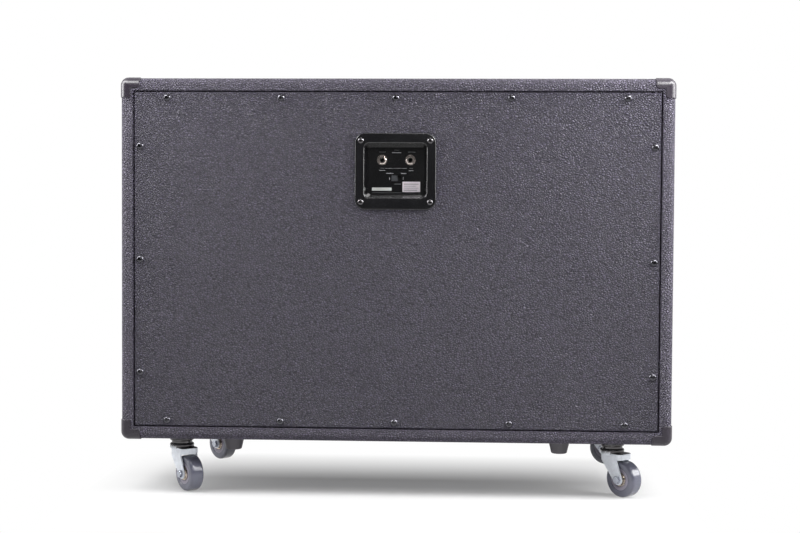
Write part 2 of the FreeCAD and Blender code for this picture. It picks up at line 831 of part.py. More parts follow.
def make_basket(side):
    t = basket_thickness
    wall_line = [(flange_radius, 0), (basket_rim_radius, 0), (basket_rim_radius, basket_step),
                 (basket_shelf_radius, basket_step), (basket_seat_radius, basket_seat_place),
                 (basket_neck_radius, basket_seat_place), (basket_neck_radius, basket_depth),
                 (basket_bore_radius, basket_depth), (basket_bore_radius, basket_depth + t),
                 (basket_neck_radius + t, basket_depth + t), (basket_neck_radius + t, basket_seat_place + t),
                 (basket_seat_radius + t, basket_seat_place + t), (basket_shelf_radius + t, basket_step + t),
                 (basket_rim_radius + t, basket_step + t), (basket_rim_radius + t, t), (flange_radius, t)]
    # The turned wall's seam lies a quarter turn away from the terminal
    basket = turned(wall_line).rotated(origin, z_axis, 90)
    sector = Part.makePolygon([FreeCAD.Vector(window_inner_radius, 0, -cut_overrun),
                               FreeCAD.Vector(window_outer_radius, 0, -cut_overrun),
                               FreeCAD.Vector(window_outer_radius, 0, basket_depth),
                               FreeCAD.Vector(window_inner_radius, 0, basket_depth),
                               FreeCAD.Vector(window_inner_radius, 0, -cut_overrun)])
    pitch = 360 / window_count
    window = Part.Face(sector).revolve(origin, z_axis, pitch * window_angle_share)
    cuts = [window.rotated(origin, z_axis, pitch * (i + (1 - window_angle_share) / 2))
            for i in range(window_count)]
    hole = rod(speaker_bolt_radius + screw_gap, -cut_overrun, 2 * cut_overrun)
    cuts += [hole.translated(FreeCAD.Vector(x, y, 0)) for x, y in bolt_places()]
    inner_end = -sides[side] * basket_neck_radius
    outer_end = -sides[side] * terminal_reach
    x0, x1 = sorted((inner_end - sides[side] * t, outer_end))
    bottom = basket_seat_place + t
    terminal = block((x0, -terminal_width / 2, bottom), (x1, terminal_width / 2, bottom + terminal_depth))
    terminal = terminal.cut(rod(basket_neck_radius + t, 0, basket_depth))
    return basket.cut(cuts).fuse(terminal).removeSplitter()


def make_cone():
    front = [(cone_radius, cone_place), (coil_radius, cone_place + cone_depth)]
    back = [(radius, place + cone_thickness) for radius, place in reversed(front)]
    return turned(front + back)


def dome_edge(radius, base, rise):
    """Arc from the axis down to a rim, for a dome that bulges towards -Z."""
    curve = (radius ** 2 + rise ** 2) / (2 * rise)
    half_angle = math.asin(radius / curve) / 2
    centre = base - rise + curve
    return Part.Arc(FreeCAD.Vector(0, 0, base - rise),
                    FreeCAD.Vector(curve * math.sin(half_angle), 0, centre - curve * math.cos(half_angle)),
                    FreeCAD.Vector(radius, 0, base)).toShape()


def make_dust_cap():
    """Dome glued to the cone's front."""
    base = cone_place + cone_depth * (cone_radius - cap_radius) / (cone_radius - coil_radius)
    outer = dome_edge(cap_radius, base, cap_rise)
    inner = dome_edge(cap_radius - cap_thickness, base, cap_rise - cap_thickness)
    rim = Part.LineSegment(outer.lastVertex().Point, inner.lastVertex().Point).toShape()
    crown = Part.LineSegment(inner.firstVertex().Point, outer.firstVertex().Point).toShape()
    return Part.Face(Part.Wire([outer, rim, inner, crown])).revolve(origin, z_axis, 360)


def make_voice_coil():
    """Former glued in the cone's neck, with the winding in the magnet's gap."""
    start = cone_place + cone_depth - cone_thickness
    winding = basket_depth + basket_thickness + (top_plate_thickness - coil_winding_length) / 2
    winding_end = winding + coil_winding_length
    inner = coil_radius - coil_former_thickness
    outer = coil_radius + coil_winding_thickness
    return turned([(inner, start), (coil_radius, start), (coil_radius, winding), (outer, winding),
                   (outer, winding_end), (coil_radius, winding_end), (coil_radius, winding_end + coil_tail),
                   (inner, winding_end + coil_tail)])


def make_suspension():
    """Rolled surround at the cone's edge, and corrugated spider round the coil former."""
    ring_place = basket_step - surround_thickness
    ring_end = basket_rim_radius - fit_gap
    ring_start = ring_end - surround_ring_width
    step = (ring_start - cone_radius - fit_gap) / 4
    crest = cone_place - surround_roll
    line = [(cone_radius + fit_gap + i * step, cone_place if i % 2 == 0 else crest) for i in range(4)]
    line += [(ring_start, ring_place), (ring_end, ring_place)]
    surround = turned(line + [(radius, place + surround_thickness) for radius, place in reversed(line)])
    start = coil_radius + fit_gap
    seat = basket_seat_place - spider_thickness
    outer = basket_seat_radius - fit_gap
    step = (outer - spider_ring_width - start) / spider_roll_count
    line = [(start + i * step, seat - (spider_roll if i % 2 else 0)) for i in range(spider_roll_count + 1)]
    line.append((outer, seat))
    spider = turned(line + [(radius, place + spider_thickness) for radius, place in reversed(line)])
    return [surround, spider]


def make_motor():
    """Top plate, ring magnet, and back plate with its pole."""
    front = basket_depth + basket_thickness
    magnet_start = front + top_plate_thickness
    back = magnet_start + magnet_thickness
    bore = coil_radius + coil_winding_thickness + coil_gap
    pole = coil_radius - coil_former_thickness - pole_clearance
    top_plate = turned([(bore, front), (top_plate_radius, front), (top_plate_radius, magnet_start),
                        (bore, magnet_start)])
    magnet = turned([(magnet_bore_radius, magnet_start), (magnet_radius, magnet_start),
                     (magnet_radius, back), (magnet_bore_radius, back)])
    back_end = back + back_plate_thickness
    back_plate = turned([(0, front), (pole, front), (pole, back), (back_plate_radius, back),
                         (back_plate_radius, back_end), (0, back_end)])
    return [top_plate, magnet, back_plate]


def make_speaker(side):
    pieces = {"speaker_basket": [make_basket(side)], "speaker_cone": [make_cone()],
              "dust_cap": [make_dust_cap()], "voice_coil": [make_voice_coil()],
              "speaker_suspension": make_suspension(), "speaker_motor": make_motor()}
    place = speaker_places()[side]
    return {f"{name}_{side}": [placed(shape, place, speaker_turn) for shape in shapes]
            for name, shapes in pieces.items()}


def make_speaker_bolts():
    bolt = pan_screw(speaker_bolt_head_radius, speaker_bolt_head_height,
                     speaker_bolt_radius, speaker_bolt_length)
    return [placed(bolt.translated(FreeCAD.Vector(x, y, basket_thickness)), place, speaker_turn)
            for place in speaker_places().values() for x, y in bolt_places()]


# Leads from the jacks to the speakers' terminals

def lead_route(side):
    """Points from the jack's back, down to the brace and along it to the speaker's terminal."""
    s = sides[side]
    jack_back = panel_face + dish_floor_back - jack_body_length
    jack_z = underside + dish_height + jack_rise
    terminal_y = baffle_back + basket_seat_place + basket_thickness + terminal_depth / 2
    terminal_x = speaker_offset - terminal_reach
    high, mid, low = [middle + share * (jack_z - middle) for share in lead_fall_shares]
    points = [(jack_spacing / 2, jack_back, jack_z), (jack_spacing / 2, jack_back - 30, jack_z),
              (19, 62, high), (17, 45, mid), (lead_side, 36, low), (lead_side, 14, middle),
              (lead_side, -22, middle), (32, -48, middle), (66, terminal_y, middle),
              (terminal_x, terminal_y, middle)]
    return [FreeCAD.Vector(s * x, y, z) for x, y, z in points]


def cord(points, radius):
    """Round cord along straight runs joined by tangent arcs, and the arcs' radii."""
    edges = []
    radii = []
    last = points[0]
    for before, point, after in zip(points, points[1:], points[2:]):
        back = before - point
        ahead = after - point
        cut = lead_arc_share * min(back.Length, ahead.Length)
        turn = math.pi - back.getAngle(ahead)
        arc_radius = cut / math.tan(turn / 2)
        back.normalize()
        ahead.normalize()
        inward = back + ahead
        inward.normalize()
        to_centre = math.hypot(cut, arc_radius)
        bend = point + inward * (to_centre - arc_radius)
        edges.append(Part.LineSegment(last, point + back * cut).toShape())
        edges.append(Part.Arc(point + back * cut, bend, point + ahead * cut).toShape())
        last = point + ahead * cut
        radii.append(arc_radius)
    edges.append(Part.LineSegment(last, points[-1]).toShape())
    path = Part.Wire(edges)
    section = Part.Wire(Part.makeCircle(radius, points[0], points[1] - points[0]))
    return path.makePipeShell([section], True, False), radii


def make_leads():
    leads = []
    for side in sides:
        lead, radii = cord(lead_route(side), lead_radius)
        print(f"lead {side}: arc radii", [round(radius, 1) for radius in radii])
        leads.append(lead)
    return leads


def make_lead_clips():
    """Saddle on each side of the brace, round the lead's straight run."""
    clips = []
    route = lead_route("right")
    clip_y = (route[5].y + route[6].y) / 2
    half_height = lead_radius + clip_wall
    for s in sides.values():
        x0, x1 = sorted((s * brace_width / 2, s * (lead_side + lead_radius + clip_wall)))
        clip = block((x0, clip_y - clip_length / 2, middle - half_height),
                     (x1, clip_y + clip_length / 2, middle + half_height))
        hole = Part.makeCylinder(lead_radius + screw_gap, clip_length + 2 * cut_overrun,
                                 FreeCAD.Vector(s * lead_side, clip_y - clip_length / 2 - cut_overrun, middle),
                                 y_axis)
        clips.append(clip.cut(hole))
    return clips


# Feet

def make_feet():
    """Tapered rubber foot with a recess for its screw."""
    seat = foot_recess_depth - foot_height
    screw_radius = foot_screw_radius + screw_gap
    foot = turned([(screw_radius, 0), (foot_top_radius, 0), (foot_tip_radius, -foot_height),
                   (foot_recess_radius, -foot_height), (foot_recess_radius, seat), (screw_radius, seat)])
    return [placed(foot, (x, y, underside)) for x, y in foot_places()]


def make_foot_screws():
    screw = pan_screw(foot_screw_head_radius, foot_screw_head_height, foot_screw_radius, foot_screw_length)
    seat = underside - foot_height + foot_recess_depth
    return [placed(screw, (x, y, seat), FreeCAD.Rotation(x_axis, 180)) for x, y in foot_places()]


# Casters

def socket_tube_radius():
    return stem_radius + running_gap + socket_wall


def make_sockets():
    """Pressed-in tube with a round flange under the bottom board."""
    bore = stem_radius + running_gap
    tube_top = underside + stem_length
    socket = turned([(bore, socket_bottom), (socket_flange_radius, socket_bottom),
                     (socket_flange_radius, underside), (socket_tube_radius(), underside),
                     (socket_tube_radius(), tube_top), (bore, tube_top)])
    return [placed(socket, (x, y, 0)) for x, y in caster_places().values()]


def make_stems():
    """Stem, bearing cap and the rivet that the fork turns on, as one turned piece."""
    crown_bottom = crown_top - fork_thickness
    head_top = crown_bottom - fit_gap
    head_bottom = head_top - rivet_head_height
    stem_top = socket_bottom + stem_length
    band_bottom = raceway_top + fit_gap
    cap_flat = cap_disc_radius - cap_disc_chamfer
    stem = turned([(0, head_bottom), (rivet_head_radius, head_bottom), (rivet_head_radius, head_top),
                   (rivet_radius, head_top), (rivet_radius, band_bottom), (band_radius, band_bottom),
                   (band_radius, cap_bottom), (cap_flat, cap_bottom),
                   (cap_disc_radius, cap_bottom + cap_disc_chamfer),
                   (cap_disc_radius, cap_top - cap_disc_chamfer), (cap_flat, cap_top),
                   (collar_radius, cap_top), (collar_radius, socket_bottom), (stem_radius, socket_bottom),
                   (stem_radius, stem_top), (0, stem_top)])
    return [placed(stem, (x, y, 0)) for x, y in caster_places().values()]


def tangent_point(point, centre, radius, side):
    """Where a line from a point touches a circle in a plane, on one side of it."""
    dx = point[0] - centre[0]
    dy = point[1] - centre[1]
    angle = math.atan2(dy, dx) + side * math.acos(radius / math.hypot(dx, dy))
    return centre[0] + radius * math.cos(angle), centre[1] + radius * math.sin(angle)


def fork_leg():
    """Outline of one leg, in the plane along the trail, ending round the axle's eye."""
    eye = (caster_trail, wheel_radius)
    front = fork_nose_radius - fork_lead
    front_top = (front, crown_top - fork_thickness)
    front_low = (front, crown_top - fork_leading_drop)
    back = caster_trail + fork_tail - fork_bend_radius
    back_top = (back, crown_top - fork_thickness)
    back_low = (back, crown_top - fork_skirt_height)
    touch_front = tangent_point(front_low, eye, fork_eye_radius, 1)
    touch_back = tangent_point(back_low, eye, fork_eye_radius, -1)
    bottom = (eye[0], eye[1] - fork_eye_radius)
    corners = [FreeCAD.Vector(t, 0, z) for t, z in (touch_back, back_low, back_top, front_top, front_low,
                                                    touch_front)]
    line = Part.makePolygon(corners)
    low_arc = Part.Arc(corners[-1], FreeCAD.Vector(bottom[0], 0, bottom[1]), corners[0]).toShape()
    return Part.Face(Part.Wire(line.Edges + [low_arc]))


def fork_outline(inset, bottom, height):
    """The hood's outline from above, rounded at its nose and its tail, as a block."""
    tail = caster_trail + fork_tail
    half = fork_inner_width / 2 + fork_thickness
    hood = block((inset - fork_lead, inset - half, bottom), (tail - inset, half - inset, bottom + height))
    upright = [edge for edge in hood.Edges if edge.BoundBox.ZLength > match_tolerance]
    hood = hood.makeFillet(fork_nose_radius - inset, [edge for edge in upright if edge.BoundBox.XMax < 0])
    tail_edges = [edge for edge in hood.Edges if edge.BoundBox.ZLength > height - match_tolerance
                  and edge.BoundBox.XMin > tail - inset - match_tolerance]
    return hood.makeFillet(fork_bend_radius - inset, tail_edges)


def make_fork():
    """Stamped fork about its swivel axis, with the trail along +X."""
    inner = fork_inner_width / 2
    outer = inner + fork_thickness
    tail = caster_trail + fork_tail
    nose_end = fork_nose_radius - fork_lead
    low = crown_top - fork_leading_drop
    skirt_bottom = crown_top - fork_skirt_height
    hood = fork_outline(0, low, fork_leading_drop)
    hood = hood.makeFillet(fork_thickness / 2, edges_at(hood, "z", crown_top))
    space = fork_outline(fork_thickness, low - cut_overrun, fork_leading_drop + cut_overrun - fork_thickness)
    below = low - cut_overrun
    before = -fork_lead - cut_overrun
    beyond = tail + cut_overrun
    trim_line = [(before, below), (before, skirt_bottom), (-fork_lead, skirt_bottom), (nose_end, low),
                 (nose_end, skirt_bottom), (beyond, skirt_bottom), (beyond, below), (before, below)]
    trim = Part.Face(Part.makePolygon([FreeCAD.Vector(t, -outer - cut_overrun, z) for t, z in trim_line]))
    trim = trim.extrude(y_axis * 2 * (outer + cut_overrun))
    leg = fork_leg()
    legs = [leg.translated(y_axis * -outer).extrude(y_axis * fork_thickness),
            leg.translated(y_axis * inner).extrude(y_axis * fork_thickness)]
    crown = rod(raceway_radius, crown_top - fork_thickness, fork_thickness + raceway_height)
    crown = crown.makeFillet(raceway_round, edges_at(crown, "z", raceway_top))
    fork = hood.cut([space, trim]).multiFuse(legs + [crown])
    pivot = rod(rivet_radius + running_gap, 0, raceway_top + cut_overrun)
    eye = Part.makeCylinder(axle_radius + screw_gap, 2 * (outer + cut_overrun),
                            FreeCAD.Vector(caster_trail, -outer - cut_overrun, wheel_radius), y_axis)
    return fork.cut([pivot, eye]).removeSplitter()


def on_axle(shape):
    """Turn a piece made about Z onto the wheel's axle."""
    return placed(shape, (caster_trail, 0, wheel_radius), FreeCAD.Rotation(x_axis, -90))


def make_axle():
    """Axle bolt with a six-sided head at one end and its tightened nut at the other."""
    outer = fork_inner_width / 2 + fork_thickness
    end = outer + axle_head_height
    chamfer = axle_head_height * axle_chamfer_share
    flat = axle_head_radius - chamfer
    rounded = turned([(0, -end), (flat, -end), (axle_head_radius, chamfer - end),
                      (axle_head_radius, end - chamfer), (flat, end), (0, end)])
    heads = [hexagon(axle_head_radius, -end, axle_head_height),
             hexagon(axle_head_radius, outer, axle_head_height)]
    return on_axle(rod(axle_radius, -end, 2 * end).multiFuse(heads).common(rounded).removeSplitter())


def make_wheel_core():
    """Wheel centre with a bearing ring and a hub that runs on the axle."""
    bore = axle_radius + running_gap
    hub_end = fork_inner_width / 2 - hub_end_gap
    bearing_end = bearing_width / 2
    rim_end = core_width / 2
    groove = rim_end - core_groove_depth
    half = [(bore, hub_end), (hub_radius, hub_end), (hub_radius, bearing_end), (bearing_radius, bearing_end),
            (bearing_radius, groove), (core_groove_radius, groove), (core_groove_radius, rim_end),
            (core_radius, rim_end)]
    return on_axle(turned(half + [(radius, -place) for radius, place in reversed(half)]))


def make_tyre():
    edge = wheel_width / 2
    tyre = turned([(core_radius, -edge), (wheel_radius, -edge), (wheel_radius, edge), (core_radius, edge)])
    shoulders = [ring for level in (-edge, edge) for ring in edges_at(tyre, "z", level)
                 if ring.BoundBox.XMax > core_radius + match_tolerance]
    return on_axle(tyre.makeFillet(tyre_shoulder, shoulders))


def make_casters():
    pieces = {"caster_fork": make_fork(), "caster_axle": make_axle(),
              "wheel_core": make_wheel_core(), "wheel_tyre": make_tyre()}
    casters = {}
    for name, (x, y) in caster_places().items():
        turn = FreeCAD.Rotation(z_axis, caster_headings[name])
        for piece, shape in pieces.items():
            casters[f"{piece}_{name}"] = placed(shape, (x, y, 0), turn)
    return casters


# The whole cabinet, one file per named piece

def make_cabinet():
    ring = make_ring()
    holes = carcass_holes()
    nodes = make_boards(ring, holes)
    nodes["vinyl_covering"] = make_covering(ring, holes)
    nodes["corner_protectors"] = make_corner_protectors()
    nodes["cleats"] = make_cleats()
    nodes["centre_brace"] = make_brace()
    nodes["baffle_board"] = make_baffle()
    nodes.update(make_grille())
    nodes.update(make_back_panel())
    nodes["back_panel_screws"] = make_panel_screws()
    nodes["jack_dish"] = make_jack_dish()
    nodes["jack_dish_screws"] = make_dish_screws()
    nodes["jack_socket_left"] = make_jack_socket(jack_spacing / 2)
    nodes["jack_socket_right"] = make_jack_socket(-jack_spacing / 2)
    nodes["jack_nuts"] = make_jack_nuts()
    nodes.update(make_switch())
    for side in sides:
        nodes[f"handle_cup_{side}"] = make_handle_cup(side)
        nodes.update(make_speaker(side))
    nodes["handle_grips"] = [make_handle_grip(side) for side in sides]
    nodes["handle_screws"] = make_handle_screws()
    nodes["speaker_bolts"] = make_speaker_bolts()
    nodes["speaker_leads"] = make_leads()
    nodes["lead_clips"] = make_lead_clips()
    nodes["rubber_feet"] = make_feet()
    nodes["foot_screws"] = make_foot_screws()
    nodes["caster_sockets"] = make_sockets()
    nodes["caster_stems"] = make_stems()
    nodes.update(make_casters())
    return nodes


def export(nodes):
    os.makedirs("parts", exist_ok=True)
    for name, shapes in nodes.items():
        group = shapes if isinstance(shapes, list) else [shapes]
        solids = [solid for shape in group for solid in shape.Solids]
        shape = solids[0] if len(solids) == 1 else Part.makeCompound(solids)
        shape.exportStep(f"parts/{name}.step")
        print(name, len(solids), "solids, valid" if shape.isValid() else "solids, NOT valid")


export(make_cabinet())
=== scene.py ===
import json
import math

import bmesh
import bpy
from mathutils import Matrix, Vector


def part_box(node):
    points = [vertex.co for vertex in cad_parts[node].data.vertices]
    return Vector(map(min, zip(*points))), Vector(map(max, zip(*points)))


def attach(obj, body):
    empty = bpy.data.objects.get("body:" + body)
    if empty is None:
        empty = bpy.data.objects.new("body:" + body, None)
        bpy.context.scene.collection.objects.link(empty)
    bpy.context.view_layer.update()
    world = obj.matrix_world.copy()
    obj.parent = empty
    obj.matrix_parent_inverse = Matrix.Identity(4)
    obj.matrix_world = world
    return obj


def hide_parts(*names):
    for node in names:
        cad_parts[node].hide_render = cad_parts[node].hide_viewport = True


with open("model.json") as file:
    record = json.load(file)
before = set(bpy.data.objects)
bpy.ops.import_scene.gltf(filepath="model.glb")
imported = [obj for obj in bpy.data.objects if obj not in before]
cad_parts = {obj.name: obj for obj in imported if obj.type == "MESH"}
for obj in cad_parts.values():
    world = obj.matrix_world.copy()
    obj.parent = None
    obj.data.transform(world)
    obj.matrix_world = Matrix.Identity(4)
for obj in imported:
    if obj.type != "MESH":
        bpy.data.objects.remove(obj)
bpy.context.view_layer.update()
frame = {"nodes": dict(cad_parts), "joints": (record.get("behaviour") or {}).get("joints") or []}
nodes = frame["nodes"]
joints = {joint["name"]: joint for joint in frame["joints"]}

# Guitar speaker cabinet seen from behind. Metres, +Z up, the grille faces -Y and the back panel +Y.
MM = 0.001
TURN = 2 * math.pi
SIDES = ("left", "right")
CASTERS = ("front_left", "front_right", "rear_left", "rear_right")

# Corners of a mesh closer than this are made one, and so are faces that turn less than this
MERGE = 0.002 * MM
FLAT_TURN = math.radians(0.05)

# Radius of the small rounds on the edges of pieces, and the turn from which an edge gets one
ROUNDS = {"corner": 0.9 * MM, "cup": 0.4 * MM, "knob": 0.12 * MM, "fork": 0.35 * MM, "axle": 0.3 * MM,
          "stem": 0.6 * MM}
ROUND_TURN = math.radians(38)

# A Wave texture turns by this many radians per unit of its scale
WAVE_RADIANS = 20

# Directions of the faces that pieces stand on: local x, local y and outwards
REAR_FACE = Matrix(((-1, 0, 0), (0, 0, 1), (0, 1, 0))).to_4x4()
SIDE_FACES = {"left": Matrix(((0, 0, -1), (-1, 0, 0), (0, 1, 0))).to_4x4(),
              "right": Matrix(((0, 0, 1), (1, 0, 0), (0, 1, 0))).to_4x4()}

# Camera of the photograph
CAMERA_PLACE = (-0.0873, 2.0023, 0.3817)
CAMERA_YAW = math.radians(182.518)
CAMERA_TILT = math.radians(88.0515)
CAMERA_ROLL = math.radians(0.34)
CAMERA_LENS = 60.014


# Node trees

def node(tree, kind, inputs=None, **settings):
    """New node: settings are its own properties, inputs are values or sockets by name or number."""
    made = tree.nodes.new(kind)
    for key, value in settings.items():
        setattr(made, key, value)
    for key, value in (inputs or {}).items():
        if isinstance(value, bpy.types.NodeSocket):
            tree.links.new(value, made.inputs[key])
        else:
            made.inputs[key].default_value = value
    return made


def calc(tree, operation, first, second=0.0, clamp=False):
    """Result of a math operation on one or two values."""
    made = node(tree, "ShaderNodeMath", {0: first, 1: second}, operation=operation, use_clamp=clamp)
    return made.outputs[0]


def vector_calc(tree, operation, first, second):
    """Result of a math operation on two vectors."""
    return node(tree, "ShaderNodeVectorMath", {0: first, 1: second}, operation=operation).outputs[0]


def mixed(tree, factor, first, second):
    """Blend of two colours."""
    return node(tree, "ShaderNodeMix", {0: factor, 6: first, 7: second}, data_type="RGBA").outputs[2]


def ranged(tree, value, low, high, to_low=0.0, to_high=1.0, smooth=False):
    """A value's range mapped onto another, held at both ends."""
    kind = "SMOOTHSTEP" if smooth else "LINEAR"
    inputs = {"Value": value, "From Min": low, "From Max": high, "To Min": to_low, "To Max": to_high}
    return node(tree, "ShaderNodeMapRange", inputs, interpolation_type=kind).outputs[0]


def new_group(name, inputs, outputs):
    """Empty node group whose sockets are all single values."""
    tree = bpy.data.node_groups.new(name, "ShaderNodeTree")
    for label, default in inputs.items():
        socket = tree.interface.new_socket(label, in_out="INPUT", socket_type="NodeSocketFloat")
        socket.default_value = default
    for label in outputs:
        tree.interface.new_socket(label, in_out="OUTPUT", socket_type="NodeSocketFloat")
    return tree, tree.nodes.new("NodeGroupInput").outputs, tree.nodes.new("NodeGroupOutput").inputs


def object_place(tree):
    """Place on the object itself, which a pattern keeps to when the piece moves."""
    return node(tree, "ShaderNodeTexCoord").outputs["Object"]


def wave_scale(pitch):
    """Scale of a Wave texture whose bands lie a pitch apart."""
    return TURN / (WAVE_RADIANS * pitch)


def leather_group():
    """Pebbled grain: raised cells with creases between them, a tone for each cell, and fine pores."""
    squash = (1.0, 1.0, 1.4)
    drift_share = 0.45
    bulge_reach = 0.34
    crease_reach = 0.26
    pore_share = 3.2
    pore_relief = 0.3
    tree, given, out = new_group("leather_grain", {"Cell": 3.6 * MM, "Wander": 0.9 * MM},
                                 ("Height", "Crease", "Tone"))
    place = vector_calc(tree, "MULTIPLY", object_place(tree), squash)
    scale = calc(tree, "DIVIDE", 1.0, given["Cell"])
    drift_scale = calc(tree, "MULTIPLY", scale, drift_share)
    drift = node(tree, "ShaderNodeTexNoise", {"Vector": place, "Scale": drift_scale, "Detail": 1.0})
    centred = vector_calc(tree, "SUBTRACT", drift.outputs["Color"], (0.5, 0.5, 0.5))
    moved = node(tree, "ShaderNodeVectorMath", {0: centred, "Scale": given["Wander"]}, operation="SCALE")
    warped = vector_calc(tree, "ADD", place, moved.outputs[0])
    spread = {"Vector": warped, "Scale": scale, "Randomness": 0.95}
    edges = node(tree, "ShaderNodeTexVoronoi", spread, feature="DISTANCE_TO_EDGE").outputs["Distance"]
    cells = node(tree, "ShaderNodeTexVoronoi", spread, feature="F1")
    bulge = ranged(tree, edges, 0.0, bulge_reach, smooth=True)
    pore_scale = calc(tree, "MULTIPLY", scale, pore_share)
    pores = node(tree, "ShaderNodeTexNoise", {"Vector": place, "Scale": pore_scale, "Detail": 2.0})
    pore_height = calc(tree, "MULTIPLY", pores.outputs["Fac"], pore_relief)
    tone = node(tree, "ShaderNodeSeparateColor", {0: cells.outputs["Color"]}).outputs[0]
    tree.links.new(calc(tree, "ADD", bulge, pore_height), out["Height"])
    tree.links.new(ranged(tree, edges, 0.0, crease_reach, 1.0, 0.0), out["Crease"])
    tree.links.new(tone, out["Tone"])
    return tree


def mottle_group():
    """Slow uneven shade over a surface, from 0 to 1, with a finer one beside it."""
    noise_low = 0.3
    noise_high = 0.7
    tree, given, out = new_group("slow_mottle", {"Size": 60 * MM, "Fine Size": 4 * MM}, ("Slow", "Fine"))
    place = object_place(tree)
    for label, size in (("Slow", "Size"), ("Fine", "Fine Size")):
        scale = calc(tree, "DIVIDE", 1.0, given[size])
        noise = node(tree, "ShaderNodeTexNoise", {"Vector": place, "Scale": scale, "Detail": 4.0,
                                                  "Roughness": 0.6})
        tree.links.new(ranged(tree, noise.outputs["Fac"], noise_low, noise_high), out[label])
    return tree


def rub_group():
    """Rubbed edges of a box-shaped piece, by the distance to its nearest edge."""
    noise_low = 0.42
    noise_high = 0.68
    sizes = {"Middle X": 0.0, "Middle Y": 0.0, "Middle Z": 0.0, "Half X": 0.1, "Half Y": 0.1, "Half Z": 0.1,
             "Width": 4 * MM}
    tree, given, out = new_group("rubbed_edges", sizes, ("Rub",))
    place = node(tree, "ShaderNodeSeparateXYZ", {0: object_place(tree)}).outputs
    gaps = []
    for axis in "XYZ":
        off = calc(tree, "SUBTRACT", place[axis], given["Middle " + axis])
        reach = calc(tree, "ABSOLUTE", off)
        gaps.append(calc(tree, "SUBTRACT", given["Half " + axis], reach))
    least = calc(tree, "MINIMUM", gaps[0], gaps[1])
    most = calc(tree, "MAXIMUM", gaps[0], gaps[1])
    second = calc(tree, "MAXIMUM", least, calc(tree, "MINIMUM", most, gaps[2]))
    share = calc(tree, "DIVIDE", second, given["Width"])
    patches = node(tree, "ShaderNodeTexNoise", {"Vector": object_place(tree), "Scale": 45.0, "Detail": 5.0})
    broken = ranged(tree, patches.outputs["Fac"], noise_low, noise_high)
    tree.links.new(calc(tree, "MULTIPLY", ranged(tree, share, 0.0, 1.0, 1.0, 0.0), broken), out["Rub"])
    return tree


def dust_group():
    """Faint dust that settles on faces that look up."""
    upward_from = 0.55
    noise_low = 0.4
    noise_high = 0.75
    tree, given, out = new_group("settled_dust", {"Amount": 0.2}, ("Dust",))
    facing = node(tree, "ShaderNodeSeparateXYZ", {0: node(tree, "ShaderNodeNewGeometry").outputs["Normal"]})
    upward = ranged(tree, facing.outputs["Z"], upward_from, 1.0)
    specks = node(tree, "ShaderNodeTexNoise", {"Vector": object_place(tree), "Scale": 320.0, "Detail": 6.0,
                                               "Roughness": 0.7})
    patch = ranged(tree, specks.outputs["Fac"], noise_low, noise_high)
    settled = calc(tree, "MULTIPLY", upward, patch)
    tree.links.new(calc(tree, "MULTIPLY", settled, given["Amount"]), out["Dust"])
    return tree


LEATHER = leather_group()
MOTTLE = mottle_group()
RUB = rub_group()
DUST = dust_group()


# Materials

def linear(red, green, blue):
    """Colour given in display values from 0 to 255, by the sRGB curve."""
    def one(value):
        share = value / 255
        return share / 12.92 if share <= 0.04045 else ((share + 0.055) / 1.055) ** 2.4
    return (one(red), one(green), one(blue), 1.0)


def shaded(colour, factor):
    """Colour made darker or lighter by a factor."""
    return tuple(channel * factor for channel in colour[:3]) + (1.0,)


def new_material(name):
    """Material with its shader ready to link to."""
    material = bpy.data.materials.new(name)
    material.use_nodes = True
    tree = material.node_tree
    return material, tree, tree.nodes["Principled BSDF"]


def placed_group(tree, group, **inputs):
    """Outputs of a shared node group, placed with its own values."""
    named = {key.replace("_", " "): value for key, value in inputs.items()}
    return node(tree, "ShaderNodeGroup", named, node_tree=group).outputs


def feed(tree, shader, colour, roughness):
    """Link a colour and a roughness to the shader."""
    tree.links.new(colour, shader.inputs["Base Color"])
    tree.links.new(roughness, shader.inputs["Roughness"])


def bump(tree, shader, height, depth):
    """Relief of a given depth on the shader's normal."""
    made = node(tree, "ShaderNodeBump", {"Height": height, "Distance": depth, "Strength": 1.0})
    tree.links.new(made.outputs["Normal"], shader.inputs["Normal"])


def edge_rub(tree, low, high, width):
    """Rubbed edge mask of a piece that fills a box."""
    middle = (low + high) / 2
    half = (high - low) / 2
    inputs = {"Width": width}
    for i, axis in enumerate("XYZ"):
        inputs["Middle_" + axis] = middle[i]
        inputs["Half_" + axis] = half[i]
    return placed_group(tree, RUB, **inputs)["Rub"]


def vinyl_material(name, face, low, high):
    """Grained vinyl, rubbed a little along the edges of the box that it covers, with painted shade in the
    creases between the pebbles.
    """
    dull = shaded(face, 0.8)
    clear = shaded(face, 0.9)
    pebble = shaded(face, 1.35)
    # Painted shade: the creases between the pebbles are darkened towards this.
    painted_crease_shade = shaded(face, 0.15)
    rubbed = shaded(face, 1.9)
    dusty = linear(150, 146, 142)
    crease_shade_share = 0.85
    rub_share = 0.25
    rub_width = 5 * MM
    pebble_roughness = 0.42
    crease_roughness = 0.65
    uneven_roughness = 0.05
    relief = 2.2 * MM
    material, tree, shader = new_material(name)
    grain = placed_group(tree, LEATHER)
    mottle = placed_group(tree, MOTTLE, Size=90 * MM, Fine_Size=5 * MM)
    base = mixed(tree, mottle["Slow"], dull, clear)
    toned = mixed(tree, grain["Tone"], base, pebble)
    creased = mixed(tree, calc(tree, "MULTIPLY", grain["Crease"], crease_shade_share), toned, painted_crease_shade)
    rub = calc(tree, "MULTIPLY", edge_rub(tree, low, high, rub_width), rub_share)
    worn = mixed(tree, rub, creased, rubbed)
    dust = placed_group(tree, DUST, Amount=0.1)["Dust"]
    grain_rough = ranged(tree, grain["Crease"], 0.0, 1.0, pebble_roughness, crease_roughness)
    rough = calc(tree, "ADD", grain_rough, calc(tree, "MULTIPLY", mottle["Slow"], uneven_roughness))
    feed(tree, shader, mixed(tree, dust, worn, dusty), rough)
    bump(tree, shader, grain["Height"], relief)
    return material


